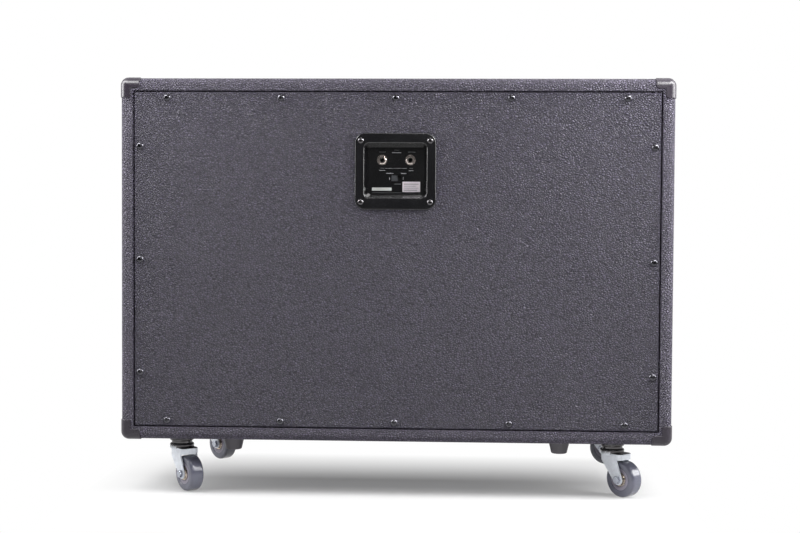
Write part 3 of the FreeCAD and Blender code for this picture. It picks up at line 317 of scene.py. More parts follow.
def moulded_material(name, colour, roughness, grain_size, relief, worn=0.0, gloss=0.0):
    """Moulded plastic or rubber with a fine grain."""
    dark = shaded(colour, 0.86)
    light = shaded(colour, 1.12)
    fleck = shaded(colour, 1.25)
    dusty = linear(140, 138, 136)
    fleck_share = 0.35
    least_dust = 0.12
    dust_roughness = 0.6
    smoother = roughness - 0.05
    rougher = roughness + 0.07
    coat_share = 0.8
    material, tree, shader = new_material(name)
    mottle = placed_group(tree, MOTTLE, Size=35 * MM, Fine_Size=grain_size)
    base = mixed(tree, mottle["Slow"], dark, light)
    speckled = mixed(tree, calc(tree, "MULTIPLY", mottle["Fine"], fleck_share), base, fleck)
    dust = placed_group(tree, DUST, Amount=least_dust + worn)["Dust"]
    rough = ranged(tree, mottle["Slow"], 0.0, 1.0, smoother, rougher)
    dusty_rough = calc(tree, "ADD", rough, calc(tree, "MULTIPLY", dust, dust_roughness))
    feed(tree, shader, mixed(tree, dust, speckled, dusty), dusty_rough)
    shader.inputs["Coat Weight"].default_value = gloss
    shader.inputs["Coat Roughness"].default_value = roughness * coat_share
    bump(tree, shader, mottle["Fine"], relief)
    return material


def metal_material(name, colour, roughness, patch_size, scratch=0.35, metallic=1.0):
    """Plated or painted metal with uneven patches and hairline scratches."""
    dark = shaded(colour, 0.86)
    light = shaded(colour, 1.05)
    scratched = shaded(colour, 0.7)
    smoother = roughness * 0.8
    rougher = roughness * 1.25
    hair_roughness = 0.12
    hair_low = 0.52
    hair_high = 0.72
    relief = 0.015 * MM
    material, tree, shader = new_material(name)
    mottle = placed_group(tree, MOTTLE, Size=patch_size, Fine_Size=0.9 * MM)
    tone = mixed(tree, mottle["Slow"], dark, light)
    stretch = node(tree, "ShaderNodeMapping", {"Vector": object_place(tree), "Scale": (90.0, 90.0, 2600.0)})
    lines = node(tree, "ShaderNodeTexNoise", {"Vector": stretch.outputs[0], "Scale": 1.0, "Detail": 3.0})
    hair = ranged(tree, lines.outputs["Fac"], hair_low, hair_high)
    worn = mixed(tree, calc(tree, "MULTIPLY", hair, scratch), tone, scratched)
    rough = ranged(tree, mottle["Slow"], 0.0, 1.0, smoother, rougher)
    feed(tree, shader, worn, calc(tree, "ADD", rough, calc(tree, "MULTIPLY", hair, hair_roughness)))
    shader.inputs["Metallic"].default_value = metallic
    bump(tree, shader, mottle["Fine"], relief)
    return material


def wood_material(name, colour):
    """Plywood: stretched fibres on the faces and thin layers through the edge."""
    dark = shaded(colour, 0.62)
    light = shaded(colour, 1.1)
    glue = shaded(colour, 0.45)
    glue_share = 0.22
    layer_pitch = 8.796 * MM
    fibre_low = 0.3
    fibre_high = 0.7
    relief = 0.12 * MM
    material, tree, shader = new_material(name)
    place = object_place(tree)
    fibres = node(tree, "ShaderNodeMapping", {"Vector": place, "Scale": (12.0, 260.0, 260.0)})
    grain = node(tree, "ShaderNodeTexNoise", {"Vector": fibres.outputs[0], "Scale": 1.0, "Detail": 6.0,
                                              "Roughness": 0.65, "Distortion": 0.6})
    streak = ranged(tree, grain.outputs["Fac"], fibre_low, fibre_high)
    face = mixed(tree, streak, dark, light)
    layers = node(tree, "ShaderNodeTexWave", {"Vector": place, "Scale": wave_scale(layer_pitch),
                                              "Distortion": 0.4}, bands_direction="Y")
    layered = mixed(tree, calc(tree, "MULTIPLY", layers.outputs["Fac"], glue_share), face, glue)
    feed(tree, shader, layered, ranged(tree, streak, 0.0, 1.0, 0.75, 0.55))
    bump(tree, shader, streak, relief)
    return material


def woven_material(name, dark, light, pitch):
    """Plain weave of two thread colours on faces that look along Y, with a soft sheen."""
    fleck_share = 0.55
    fleck_low = 0.35
    fleck_high = 0.95
    relief = 0.35 * MM
    material, tree, shader = new_material(name)
    place = object_place(tree)
    waves = []
    for direction, phase in (("X", 0.0), ("Z", TURN / 4)):
        wave = node(tree, "ShaderNodeTexWave", {"Vector": place, "Scale": wave_scale(pitch),
                                                "Distortion": 0.25, "Detail": 1.0, "Detail Scale": 3.0,
                                                "Phase Offset": phase}, bands_direction=direction)
        waves.append(wave.outputs["Fac"])
    weave = calc(tree, "MULTIPLY", waves[0], waves[1])
    height = calc(tree, "MAXIMUM", waves[0], waves[1])
    mottle = placed_group(tree, MOTTLE, Size=25 * MM, Fine_Size=1.6 * MM)
    uneven = calc(tree, "ADD", weave, calc(tree, "MULTIPLY", mottle["Fine"], fleck_share))
    flecks = ranged(tree, uneven, fleck_low, fleck_high)
    feed(tree, shader, mixed(tree, flecks, dark, light), ranged(tree, mottle["Slow"], 0.0, 1.0, 0.78, 0.92))
    shader.inputs["Sheen Weight"].default_value = 0.25
    bump(tree, shader, height, relief)
    return material


def pressed_material(name, colour, patch_size=6 * MM):
    """Pressed paper or doped cloth with a felted surface."""
    dark = shaded(colour, 0.75)
    light = shaded(colour, 1.25)
    stain = shaded(colour, 0.6)
    stain_share = 0.3
    relief = 0.12 * MM
    material, tree, shader = new_material(name)
    mottle = placed_group(tree, MOTTLE, Size=patch_size, Fine_Size=1.1 * MM)
    tone = mixed(tree, mottle["Fine"], dark, light)
    stained = mixed(tree, calc(tree, "MULTIPLY", mottle["Slow"], stain_share), tone, stain)
    feed(tree, shader, stained, ranged(tree, mottle["Slow"], 0.0, 1.0, 0.8, 0.95))
    bump(tree, shader, mottle["Fine"], relief)
    return material


def wound_material(name, colour):
    """Copper wire wound in close turns."""
    gap = shaded(colour, 0.45)
    turn_pitch = 2.513 * MM
    relief = 0.1 * MM
    material, tree, shader = new_material(name)
    turns = node(tree, "ShaderNodeTexWave", {"Vector": object_place(tree), "Scale": wave_scale(turn_pitch)},
                 bands_direction="Y").outputs["Fac"]
    feed(tree, shader, mixed(tree, turns, gap, colour), ranged(tree, turns, 0.0, 1.0, 0.5, 0.3))
    shader.inputs["Metallic"].default_value = 1.0
    bump(tree, shader, turns, relief)
    return material


def sticker_material(name, colour):
    """Blank paper label with a faint fibre and a satin face."""
    shadow = shaded(colour, 0.9)
    relief = 0.01 * MM
    material, tree, shader = new_material(name)
    mottle = placed_group(tree, MOTTLE, Size=9 * MM, Fine_Size=0.7 * MM)
    feed(tree, shader, mixed(tree, mottle["Slow"], shadow, colour),
         ranged(tree, mottle["Fine"], 0.0, 1.0, 0.45, 0.6))
    bump(tree, shader, mottle["Fine"], relief)
    return material


# Each finish with its colour. Moulded ones then have roughness, grain size and relief, and metal ones
# roughness, patch size and the strength of the scratches.
FINISHES = {
    # The carcass and the back panel wear one vinyl; the carcass's copy is painted lighter, as painted light
    # on its rims.
    "covering": vinyl_material("covering_vinyl_painted_light", linear(87, 81, 99), *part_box("vinyl_covering")),
    "panel": vinyl_material("panel_vinyl", linear(72, 67, 84), *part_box("back_panel_vinyl")),
    "corner": moulded_material("corner_plastic", linear(42, 37, 46), 0.31, 1.2 * MM, 0.002 * MM),
    "dish": moulded_material("dish_plastic", linear(11, 11, 14), 0.18, 0.5 * MM, 0.002 * MM, gloss=1.0),
    "cup": moulded_material("cup_plastic", linear(26, 26, 28), 0.5, 0.8 * MM, 0.03 * MM),
    "grip": moulded_material("grip_rubber", linear(28, 28, 29), 0.6, 0.7 * MM, 0.06 * MM),
    "foot": moulded_material("foot_rubber", linear(82, 79, 84), 0.5, 0.9 * MM, 0.05 * MM, worn=0.1),
    "lead": moulded_material("lead_rubber", linear(30, 30, 31), 0.5, 0.8 * MM, 0.03 * MM),
    "jack_body": moulded_material("jack_plastic", linear(18, 18, 18), 0.3, 0.6 * MM, 0.01 * MM),
    "knob": moulded_material("switch_plastic", linear(72, 74, 78), 0.45, 0.5 * MM, 0.02 * MM),
    "tyre": moulded_material("tyre_rubber", linear(92, 93, 107), 0.16, 0.9 * MM, 0.006 * MM, worn=0.05,
                             gloss=0.4),
    "core": moulded_material("core_plastic", linear(138, 133, 146), 0.36, 0.7 * MM, 0.02 * MM),
    "zinc": metal_material("zinc_plate", linear(230, 234, 241), 0.34, 7 * MM, 0.12, metallic=0.5),
    # Polished steel painted far darker than steel: a painted dark reflection of the cabinet's underside.
    "polished": metal_material("steel_painted_dark", linear(92, 90, 91), 0.14, 6 * MM, 0.1),
    "brass": metal_material("bearing_brass", linear(206, 193, 180), 0.24, 3 * MM, 0.1),
    "bright": metal_material("bright_plate", linear(176, 180, 190), 0.16, 5 * MM, 0.08),
    # Chrome of the dish screws painted far darker than chrome: a painted dark reflection of the room on the
    # camera's side.
    "chrome": metal_material("chrome_painted_dark", linear(96, 94, 96), 0.12, 4 * MM, 0.05),
    "nickel": metal_material("nickel_plate", linear(226, 214, 208), 0.16, 5 * MM, 0.1, metallic=0.9),
    "basket": metal_material("painted_basket", linear(52, 52, 54), 0.45, 12 * MM),
    "motor": metal_material("motor_iron", linear(70, 70, 72), 0.55, 9 * MM),
    "black_nickel": metal_material("black_nickel_plate", linear(84, 83, 88), 0.13, 5 * MM, 0.08),
    "plywood": wood_material("plywood", linear(196, 160, 112)),
    "cloth": woven_material("grille_weave", linear(16, 16, 18), linear(62, 62, 66), 5.655 * MM),
    "paper": pressed_material("cone_paper", linear(46, 43, 40)),
    "doped": pressed_material("doped_cloth", linear(120, 86, 48), 4 * MM),
    "copper": wound_material("wound_copper", linear(196, 118, 70)),
    "white_label": sticker_material("white_label", linear(244, 235, 243)),
    "grey_label": sticker_material("grey_label", linear(226, 228, 226)),
    "print": sticker_material("white_print", linear(170, 170, 174)),
    "faint_print": sticker_material("faint_print", linear(98, 100, 102)),
}

# CAD nodes that stay as they are, by the finish that they get
KEPT = {
    "plywood": ("left_side_board", "right_side_board", "bottom_board", "top_board", "cleats", "centre_brace",
                "baffle_board", "back_panel", "grille_frame"),
    "jack_body": ("switch_body",),
    "black_nickel": ("speaker_bolts",),
    "lead": ("speaker_leads",),
    "corner": ("lead_clips",),
    "zinc": ("caster_sockets",),
    "bright": ("foot_screws",),
    "basket": tuple(f"speaker_basket_{side}" for side in SIDES),
    "motor": tuple(f"speaker_motor_{side}" for side in SIDES),
    "paper": tuple(f"{piece}_{side}" for piece in ("speaker_cone", "dust_cap") for side in SIDES),
    "doped": tuple(f"speaker_suspension_{side}" for side in SIDES),
    "copper": tuple(f"voice_coil_{side}" for side in SIDES),
}


def dress_kept_nodes():
    """Give each CAD node that stays its finish."""
    for finish, names in KEPT.items():
        for name in names:
            mesh = nodes[name].data
            mesh.materials.clear()
            mesh.materials.append(FINISHES[finish])


# Meshes

def merged(name):
    """Copy of a CAD node as a bmesh, with its loose triangles joined and flat faces made whole."""
    bm = bmesh.new()
    bm.from_mesh(nodes[name].data)
    bmesh.ops.remove_doubles(bm, verts=bm.verts, dist=MERGE)
    bmesh.ops.dissolve_limit(bm, angle_limit=FLAT_TURN, verts=bm.verts, edges=bm.edges)
    return bm


def solid_boxes(name):
    """Lowest and highest corner of each separate solid of a CAD node, in order from left to right."""
    bm = bmesh.new()
    bm.from_mesh(nodes[name].data)
    bmesh.ops.remove_doubles(bm, verts=bm.verts, dist=MERGE)
    left = set(bm.verts)
    boxes = []
    while left:
        island = [left.pop()]
        for vert in island:
            near = [edge.other_vert(vert) for edge in vert.link_edges]
            island += [other for other in near if other in left]
            left.difference_update(near)
        corners = [[vert.co[i] for vert in island] for i in range(3)]
        boxes.append((Vector(map(min, corners)), Vector(map(max, corners))))
    bm.free()
    return sorted(boxes, key=lambda box: tuple(box[0]))


def added(bm, before):
    """Corners of a bmesh that weren't there before."""
    return [vert for vert in bm.verts if vert not in before]


def faces_of(verts):
    """All faces that have one of these corners."""
    return list({face for vert in verts for face in vert.link_faces})


def turned(bm, profile, steps, place=Matrix.Identity(4)):
    """Spin a profile of (radius, height) points about Z, then move the new mesh to its place."""
    before = set(bm.verts)
    verts = [bm.verts.new((radius, 0, height)) for radius, height in profile]
    edges = [bm.edges.new(pair) for pair in zip(verts, verts[1:])]
    bmesh.ops.spin(bm, geom=verts + edges, cent=(0, 0, 0), axis=(0, 0, 1), angle=TURN, steps=steps,
                   use_merge=True)
    bmesh.ops.remove_doubles(bm, verts=added(bm, before), dist=MERGE)
    made = added(bm, before)
    bmesh.ops.recalc_face_normals(bm, faces=faces_of(made))
    bmesh.ops.transform(bm, matrix=place, verts=made)


def arc(centre, radius, start, end, count):
    """Points of an arc in a profile, angles in degrees from the radius direction."""
    angles = [math.radians(start + (end - start) * i / count) for i in range(count + 1)]
    return [(centre[0] + radius * math.cos(a), centre[1] + radius * math.sin(a)) for a in angles]


def mesh_from(name, bm):
    """Mesh of a bmesh that isn't needed any more."""
    mesh = bpy.data.meshes.new(name)
    bm.to_mesh(mesh)
    bm.free()
    return mesh


def new_object(name, data):
    """Object in the scene for a mesh, a lamp or a camera."""
    made = bpy.data.objects.new(name, data)
    bpy.context.scene.collection.objects.link(made)
    return made


def finished(name, bm, finish, body, slot, *replaced, sharp=32.0):
    """Named piece from a bmesh, with its finish and body, in place of CAD nodes; its slot is not used."""
    mesh = mesh_from(name, bm)
    for one in (finish if isinstance(finish, tuple) else (finish,)):
        mesh.materials.append(FINISHES[one])
    mesh.shade_smooth()
    mesh.set_sharp_from_angle(angle=math.radians(sharp))
    piece = new_object(name, mesh)
    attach(piece, body)
    if replaced:
        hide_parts(*replaced)
    return piece


def even_normals(piece):
    """Keep flat faces flat beside their rounded edges."""
    modifier = piece.modifiers.new("even_normals", "WEIGHTED_NORMAL")
    modifier.keep_sharp = True


def soften(piece, radius, segments=2):
    """Round a piece's sharp edges."""
    modifier = piece.modifiers.new("soft_edges", "BEVEL")
    modifier.width = radius
    modifier.segments = segments
    modifier.limit_method = "ANGLE"
    modifier.angle_limit = ROUND_TURN
    modifier.use_clamp_overlap = False
    even_normals(piece)


# Screws with a cross recess

def cross_screw(bm, head_radius, head_height, shank_radius, shank_length, place):
    """Pan head screw whose head stands on z = 0, with a tapered cross recess in its top."""
    steps = 28
    rings = 7
    flat_share = 0.42
    rim = head_height * 0.22
    arm = head_radius * 0.38
    half = head_radius * 0.1
    taper = 0.62
    sink = head_height * 0.62
    dome = []
    for i in range(rings + 1):
        share = 1 - (1 - flat_share) * i / rings
        rise = (1 - share ** 3) / (1 - flat_share ** 3)
        dome.append((head_radius * share, rim + (head_height - rim) * rise))
    profile = [(0, -shank_length), (shank_radius, -shank_length), (shank_radius, 0), (head_radius, 0)] + dome
    before = set(bm.verts)
    turned(bm, profile, steps)
    top_edges = [edge for edge in bm.edges if edge.verts[0] not in before and edge.is_boundary]
    corner_line = [(half, arm), (half, half), (arm, half)]
    outline = []
    for quarter in range(4):
        turn = Matrix.Rotation(-TURN / 4 * quarter, 4, "Z")
        outline += [turn @ Vector((x, y, head_height)) for x, y in corner_line]
    ring = [bm.verts.new(point) for point in outline]
    cross_edges = [bm.edges.new((ring[i], ring[(i + 1) % len(ring)])) for i in range(len(ring))]
    bmesh.ops.triangle_fill(bm, use_beauty=True, use_dissolve=False, edges=top_edges + cross_edges,
                            normal=(0, 0, 1))
    inner = [face for face in bm.faces if all(vert in ring for vert in face.verts)]
    bmesh.ops.delete(bm, geom=inner, context="FACES_ONLY")
    sunk = bmesh.ops.extrude_edge_only(bm, edges=cross_edges)["geom"]
    low = [item for item in sunk if isinstance(item, bmesh.types.BMVert)]
    bmesh.ops.scale(bm, vec=(taper, taper, 1.0), verts=low)
    bmesh.ops.translate(bm, vec=(0, 0, -sink), verts=low)
    floor_edges = [item for item in sunk if isinstance(item, bmesh.types.BMEdge) and item.is_boundary]
    bmesh.ops.edgeloop_fill(bm, edges=floor_edges)
    made = added(bm, before)
    bmesh.ops.recalc_face_normals(bm, faces=faces_of(made))
    bmesh.ops.transform(bm, matrix=place, verts=made)


def cross_turn(i, step):
    """Turn of a screw's cross by a step in degrees for each screw, so that no two neighbours look alike."""
    return Matrix.Rotation(math.radians((i * step) % 90), 4, "Z")


def screws_on_rear(node_name, head_height):
    """Place of each screw of a node on the rear, under its head."""
    turn_step = 67
    places = []
    for i, (low, high) in enumerate(solid_boxes(node_name)):
        seat = (low + high) / 2
        seat.y = high.y - head_height
        places.append(Matrix.Translation(seat) @ REAR_FACE @ cross_turn(i, turn_step))
    return places


def screws_on_sides(node_name, head_height):
    """Place of each screw of a node on the two sides, under its head."""
    turn_step = 53
    places = []
    for i, (low, high) in enumerate(solid_boxes(node_name)):
        side = "right" if low.x > 0 else "left"
        seat = (low + high) / 2
        seat.x = (high.x - head_height) if side == "right" else (low.x + head_height)
        places.append(Matrix.Translation(seat) @ SIDE_FACES[side] @ cross_turn(i, turn_step))
    return places


def screw_sizes(node_name, depth_axis, head_height):
    """Head radius and shank length of a node's screws, read from the first of them."""
    low, high = solid_boxes(node_name)[0]
    size = high - low
    across = size[(depth_axis + 1) % 3]
    return across / 2, size[depth_axis] - head_height


# Name, CAD node, axis along the screws (0 for X, 1 for Y), their places, head height, shank radius, finish
# and slot of each set
SCREWS = (
    ("panel_screws", "back_panel_screws", 1, screws_on_rear, 2.4 * MM, 2.0 * MM, "black_nickel",
     "black_screw"),
    ("dish_screws", "jack_dish_screws", 1, screws_on_rear, 2.0 * MM, 1.75 * MM, "chrome", "bright_screw"),
    ("handle_cross_screws", "handle_screws", 0, screws_on_sides, 2.2 * MM, 2.0 * MM, "black_nickel",
     "black_screw"),
)


def make_screws():
    """All screws of the panel, the dish and the handles, each set as one piece."""
    for name, source, axis, places, head, shank, finish, slot in SCREWS:
        bm = bmesh.new()
        radius, length = screw_sizes(source, axis, head)
        for place in places(source, head):
            cross_screw(bm, radius, head, shank, length, place)
        finished(name, bm, finish, "cabinet", slot, source)


# Carcass

def make_carcass():
    """Vinyl of the boards and of the back panel, and the moulded corners."""
    for name, finish, source in (("covering_skin", "covering", "vinyl_covering"),
                                 ("panel_skin", "panel", "back_panel_vinyl")):
        even_normals(finished(name, merged(source), finish, "cabinet", "vinyl", source))
    corners = finished("corner_mouldings", merged("corner_protectors"), "corner", "cabinet",
                       "corner_plastic", "corner_protectors")
    soften(corners, ROUNDS["corner"], segments=3)


def make_dishes():
    """Recessed dish of the jacks and the cups of the handles."""
    dish = finished("jack_recess_dish", merged("jack_dish"), "dish", "cabinet", "dish_plastic", "jack_dish")
    even_normals(dish)
    for side in SIDES:
        cup = finished(f"handle_recess_{side}", merged(f"handle_cup_{side}"), "cup", "cabinet",
                       "dish_plastic", f"handle_cup_{side}")
        soften(cup, ROUNDS["cup"])


# Jack plate

def make_jacks():
    """Nickel nut with a coned face on a washer round each jack's bush."""
    bore = 4.8 * MM
    washer = 7.3 * MM
    step = 0.8 * MM
    across = 6.6 * MM
    thick = 2.4 * MM
    flank = thick * 0.7
    edge = 0.2 * MM
    washer_line = [(bore, 0), (washer, 0), (washer, step - edge), (washer - edge, step), (bore, step),
                   (bore, 0)]
    nut_line = [(bore, step), (across, step), (across, step + flank), (bore + edge, step + thick),
                (bore, step + thick - edge), (bore, step)]
    bm = bmesh.new()
    for low, high in solid_boxes("jack_nuts"):
        seat = (low + high) / 2
        seat.y = low.y
        place = Matrix.Translation(seat) @ REAR_FACE
        turned(bm, washer_line, steps=40, place=place)
        turned(bm, nut_line, steps=6, place=place)
    finished("jack_hex_nuts", bm, "nickel", "cabinet", "jack_metal", "jack_nuts", sharp=24.0)


def make_jack_bushes():
    """Threaded bush of each jack: nickel above the dish's floor, black below it and in the bore."""
    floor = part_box("jack_nuts")[0].y
    above_floor = floor + 0.5 * MM
    bore_reach = 3.6 * MM
    wall_normal = 0.5
    centres = [(low + high) / 2 for low, high in solid_boxes("jack_nuts")]
    for side in SIDES:
        source = f"jack_socket_{side}"
        socket = finished(f"jack_bush_{side}", merged(source), ("jack_body", "nickel"), "cabinet",
                          "jack_body", source)
        for polygon in socket.data.polygons:
            spot = polygon.center
            reach = min(math.hypot(spot.x - seat.x, spot.z - seat.z) for seat in centres)
            in_bore = reach < bore_reach and abs(polygon.normal.y) < wall_normal
            polygon.material_index = 1 if spot.y > above_floor and not in_bore else 0


def rounded_plate(bm, low, high, corner):
    """Plate on the rear between two corners, its outline rounded."""
    size = high - low
    middle = (low + high) / 2
    middle.y = low.y
    place = Matrix.Translation(middle) @ REAR_FACE @ Matrix.Diagonal((size.x, size.z, 1.0, 1.0))
    verts = bmesh.ops.create_grid(bm, x_segments=1, y_segments=1, size=0.5, matrix=place)["verts"]
    rounded = bmesh.ops.bevel(bm, geom=verts, offset=corner, offset_type="OFFSET", segments=3, profile=0.5,
                              affect="VERTICES", material=-1)
    face = rounded["verts"][0].link_faces[0]
    outline = list(face.edges)
    raised = bmesh.ops.extrude_face_region(bm, geom=[face])["geom"]
    top = [item for item in raised if isinstance(item, bmesh.types.BMVert)]
    bmesh.ops.translate(bm, vec=(0, size.y, 0), verts=top)
    bmesh.ops.edgeloop_fill(bm, edges=outline)
    bottom = [vert for edge in outline for vert in edge.verts]
    bmesh.ops.recalc_face_normals(bm, faces=faces_of(bottom + top))


def make_switch():
    """Slider whose knob has raised ribs across its face."""
    low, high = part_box("switch_slider")
    inset = 1.5 * MM
    end_inset = 1.8 * MM
    base = 2 * MM
    rib_height = 0.5 * MM
    corner = 0.4 * MM
    ribs = 4
    rib_start = 0.2
    rib_share = 0.6
    knob_low = Vector((low.x + inset, low.y + base, low.z + end_inset))
    knob_high = Vector((high.x - inset, high.y - rib_height, high.z - end_inset))
    bm = bmesh.new()
    rounded_plate(bm, low, Vector((high.x, low.y + base, high.z)), corner)
    rounded_plate(bm, knob_low, knob_high, corner)
    pitch = (knob_high.x - knob_low.x) / ribs
    for i in range(ribs):
        start = knob_low.x + pitch * (i + rib_start)
        rounded_plate(bm, Vector((start, knob_high.y, knob_low.z)),
                      Vector((start + pitch * rib_share, high.y, knob_high.z)), corner / 2)
    knob = finished("switch_ribbed_knob", bm, "knob", "switch", "switch_knob", "switch_slider")
    soften(knob, ROUNDS["knob"])


# Marks on the dish's floor: name, finish, thickness and corner radius, then the ends of each mark sideways
# and in height from the dish's middle, seen from behind, all in mm
LABELS = (
    ("blank_label_grey", "grey_label", 0.12, 0.8, [(-33.5, -6.3, -25.8, -21.4)]),
    ("blank_label_white", "white_label", 0.12, 0.8, [(8.7, 33.3, -27.5, -13.2)]),
    ("label_rules", "faint_print", 0.16, 0.15, [
        (10.5, 31.0, -16.9, -16.1), (10.5, 27.0, -19.6, -19.2), (10.5, 31.0, -22.3, -21.9),
        (10.5, 29.0, -25.3, -24.6)]),
    ("printed_lines", "print", 0.05, 0.2, [
        (-15.1, 14.6, 4.95, 5.45), (-4.0, 5.5, 4.75, 5.65), (-23.6, -16.1, 1.9, 2.7),
        (17.3, 23.9, 1.7, 2.5), (-13.6, -3.9, -2.3, -1.3), (6.4, 14.1, -2.3, -1.3),
        (-6.2, 6.8, 26.4, 27.2), (-9.6, -8.9, -10.6, -7.0), (9.2, 9.9, -10.6, -7.0)]),
    ("faint_lines", "faint_print", 0.05, 0.15, [
        (-23.9, -14.6, 27.3, 28.1), (16.1, 26.4, 27.3, 28.1), (-2.9, 4.0, 30.1, 30.8),
        (-22.0, -16.4, 5.0, 5.8), (18.5, 23.6, 5.0, 5.8), (-2.5, 6.8, -17.0, -16.0),
        (-33.2, 32.9, -28.8, -28.4)]),
)


def make_labels():
    """Blank labels and plain printed rules on the dish's floor."""
    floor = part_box("jack_nuts")[0].y
    dish_low, dish_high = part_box("jack_dish")
    middle = (dish_low + dish_high) / 2
    for name, finish, thick, corner, marks in LABELS:
        bm = bmesh.new()
        for start, end, bottom, top in marks:
            low = Vector((middle.x - end * MM, floor, middle.z + bottom * MM))
            high = Vector((middle.x - start * MM, floor + thick * MM, middle.z + top * MM))
            rounded_plate(bm, low, high, corner * MM)
        finished(name, bm, finish, "cabinet", "dish_plastic")


# Handles, feet and grille

def make_grips():
    """Ribbed rubber sleeve on each handle bar."""
    rib = 5 * MM
    end_share = 0.9
    valley_share = 0.93
    crest_start = rib * 0.25
    crest_end = rib * 0.7
    rib_end = rib * 0.9
    bm = bmesh.new()
    for low, high in solid_boxes("handle_grips"):
        middle = (low + high) / 2
        radius = (high.z - low.z) / 2
        half = (high.y - low.y) / 2
        count = int(half * 2 / rib)
        margin = (half * 2 - rib * count) / 2
        valley = radius * valley_share
        profile = [(0, -half), (radius * end_share, -half)]
        for i in range(count):
            start = -half + rib * i + margin
            profile += [(valley, start), (radius, start + crest_start), (radius, start + crest_end),
                        (valley, start + rib_end)]
        profile += [(radius * end_share, half), (0, half)]
        place = Matrix.Translation(middle) @ Matrix.Rotation(-TURN / 4, 4, "X")
        turned(bm, profile, steps=32, place=place)
    finished("ribbed_grips", bm, "grip", "cabinet", "grip_rubber", "handle_grips")


def make_feet():
    """Tapered rubber foot with rounded edges and a deep screw recess."""
    tip = 11.4 * MM
    edge = 2.2 * MM
    taper = 8
    chamfer = 0.4 * MM
    flange = 1.6 * MM
    flange_draft = 0.3 * MM
    recess = 5.5 * MM
    mouth = 0.5 * MM
    depth = 13.5 * MM
    hole = 2.05 * MM
    bm = bmesh.new()
    for low, high in solid_boxes("rubber_feet"):
        top = (high.x - low.x) / 2
        height = high.z - low.z
        profile = [(hole, 0), (top - chamfer, 0), (top, -chamfer), (top - flange_draft, -flange)]
        profile += arc((tip - edge, edge - height), edge, -taper, -90, count=5)
        profile += [(recess + mouth, -height), (recess, mouth - height), (recess, depth - height),
                    (hole, depth - height), (hole, 0)]
        place = Matrix.Translation(((low.x + high.x) / 2, (low.y + high.y) / 2, high.z))
        turned(bm, profile, steps=40, place=place)
    finished("tapered_feet", bm, "foot", "cabinet", "foot_rubber", "rubber_feet")


def make_grille_cloth():
    """Cloth drawn over the grille frame's face and round its edges."""
    low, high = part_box("grille_cloth")
    edge = 3 * MM
    slack = 0.3 * MM
    steps = 6
    width = high.x - low.x
    height = high.z - low.z
    wrap = high.y - low.y
    middle = (low + high) / 2
    angles = [TURN / 4 * i / steps for i in range(steps + 1)]
    rings = [(edge * (1 - math.sin(a)), edge * (1 - math.cos(a))) for a in angles]
    bm = bmesh.new()
    loops = []
    for inset, depth in rings + [(0, wrap - slack)]:
        corners = bmesh.ops.create_grid(bm, x_segments=1, y_segments=1, size=0.5)["verts"]
        place = Matrix.Translation((middle.x, low.y + depth, middle.z)) @ Matrix.Rotation(TURN / 4, 4, "X")
        size = Matrix.Diagonal((width - 2 * inset, height - 2 * inset, 1, 1))
        bmesh.ops.transform(bm, matrix=place @ size, verts=corners)
        faces = faces_of(corners)
        loops.append(list(faces[0].edges))
        if len(loops) > 1:
            bmesh.ops.delete(bm, geom=faces, context="FACES_ONLY")
            bmesh.ops.bridge_loops(bm, edges=loops[-2] + loops[-1])
    bmesh.ops.recalc_face_normals(bm, faces=bm.faces)
    cloth = finished("grille_fabric", bm, "cloth", "cabinet", "grille_cloth", "grille_cloth")
    even_normals(cloth)


# Casters

def wheel_place(name):
    """Wheel centre, with z along its axle."""
    joint = joints[f"wheel_spin_{name}"]
    axis = Vector(joint["axis"]).normalized()
    turn = Vector((0, 0, 1)).rotation_difference(axis).to_matrix().to_4x4()
    return Matrix.Translation(Vector(joint["pos_m"])) @ turn


def make_tyre(name, place, core):
    """Tyre with rounded shoulders and a fine groove round the core."""
    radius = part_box(f"wheel_tyre_{name}")[1].z / 2
    half = 10 * MM
    shoulder = 4 * MM
    crown_gap = 1 * MM
    groove = 0.35 * MM
    groove_start = core + 0.8 * MM
    groove_end = core + 1.2 * MM
    tread = [(radius, 0), (radius, half - shoulder - crown_gap)]
    tread += arc((radius - shoulder, half - shoulder), shoulder, 0, 90, count=7)
    tread += [(groove_end, half), (groove_start, half - groove), (core, half - groove)]
    profile = [(r, -z) for r, z in reversed(tread[1:])] + tread
    bm = bmesh.new()
    turned(bm, profile + [profile[0]], steps=64, place=place)
    finished(f"tyre_{name}", bm, "tyre", f"wheel_{name}", "tyre_rubber", f"wheel_tyre_{name}")


def make_wheel(name):
    """Tyre, and a dished core with a metal hub."""
    place = wheel_place(name)
    core = 15.2 * MM
    make_tyre(name, place, core)
    bore = 3.06 * MM
    hub = 6.2 * MM
    hub_end = 11 * MM
    bearing = 9.7 * MM
    bearing_end = 10.2 * MM
    moat = 10.9 * MM
    moat_floor = 7.8 * MM
    rim_end = 9.3 * MM
    edge = 0.4 * MM
    half_line = [(bore, hub_end - edge), (bore + edge, hub_end), (hub - edge, hub_end),
                 (hub, hub_end - edge), (hub + edge, bearing_end - edge), (bearing - 2 * edge, bearing_end),
                 (bearing, bearing_end - 2 * edge), (bearing, moat_floor), (moat, moat_floor),
                 (moat, rim_end - edge), (moat + edge, rim_end), (core, rim_end)]
    bm = bmesh.new()
    profile = half_line + [(r, -z) for r, z in reversed(half_line)]
    turned(bm, profile + [profile[0]], steps=56, place=place)
    piece = finished(f"wheel_centre_{name}", bm, ("core", "brass"), f"wheel_{name}", "wheel_plastic",
                     f"wheel_core_{name}")
    back = place.inverted()
    for polygon in piece.data.polygons:
        spot = back @ polygon.center
        on_bearing = math.hypot(spot.x, spot.y) < bearing and abs(spot.z) > moat_floor
        polygon.material_index = 1 if on_bearing else 0


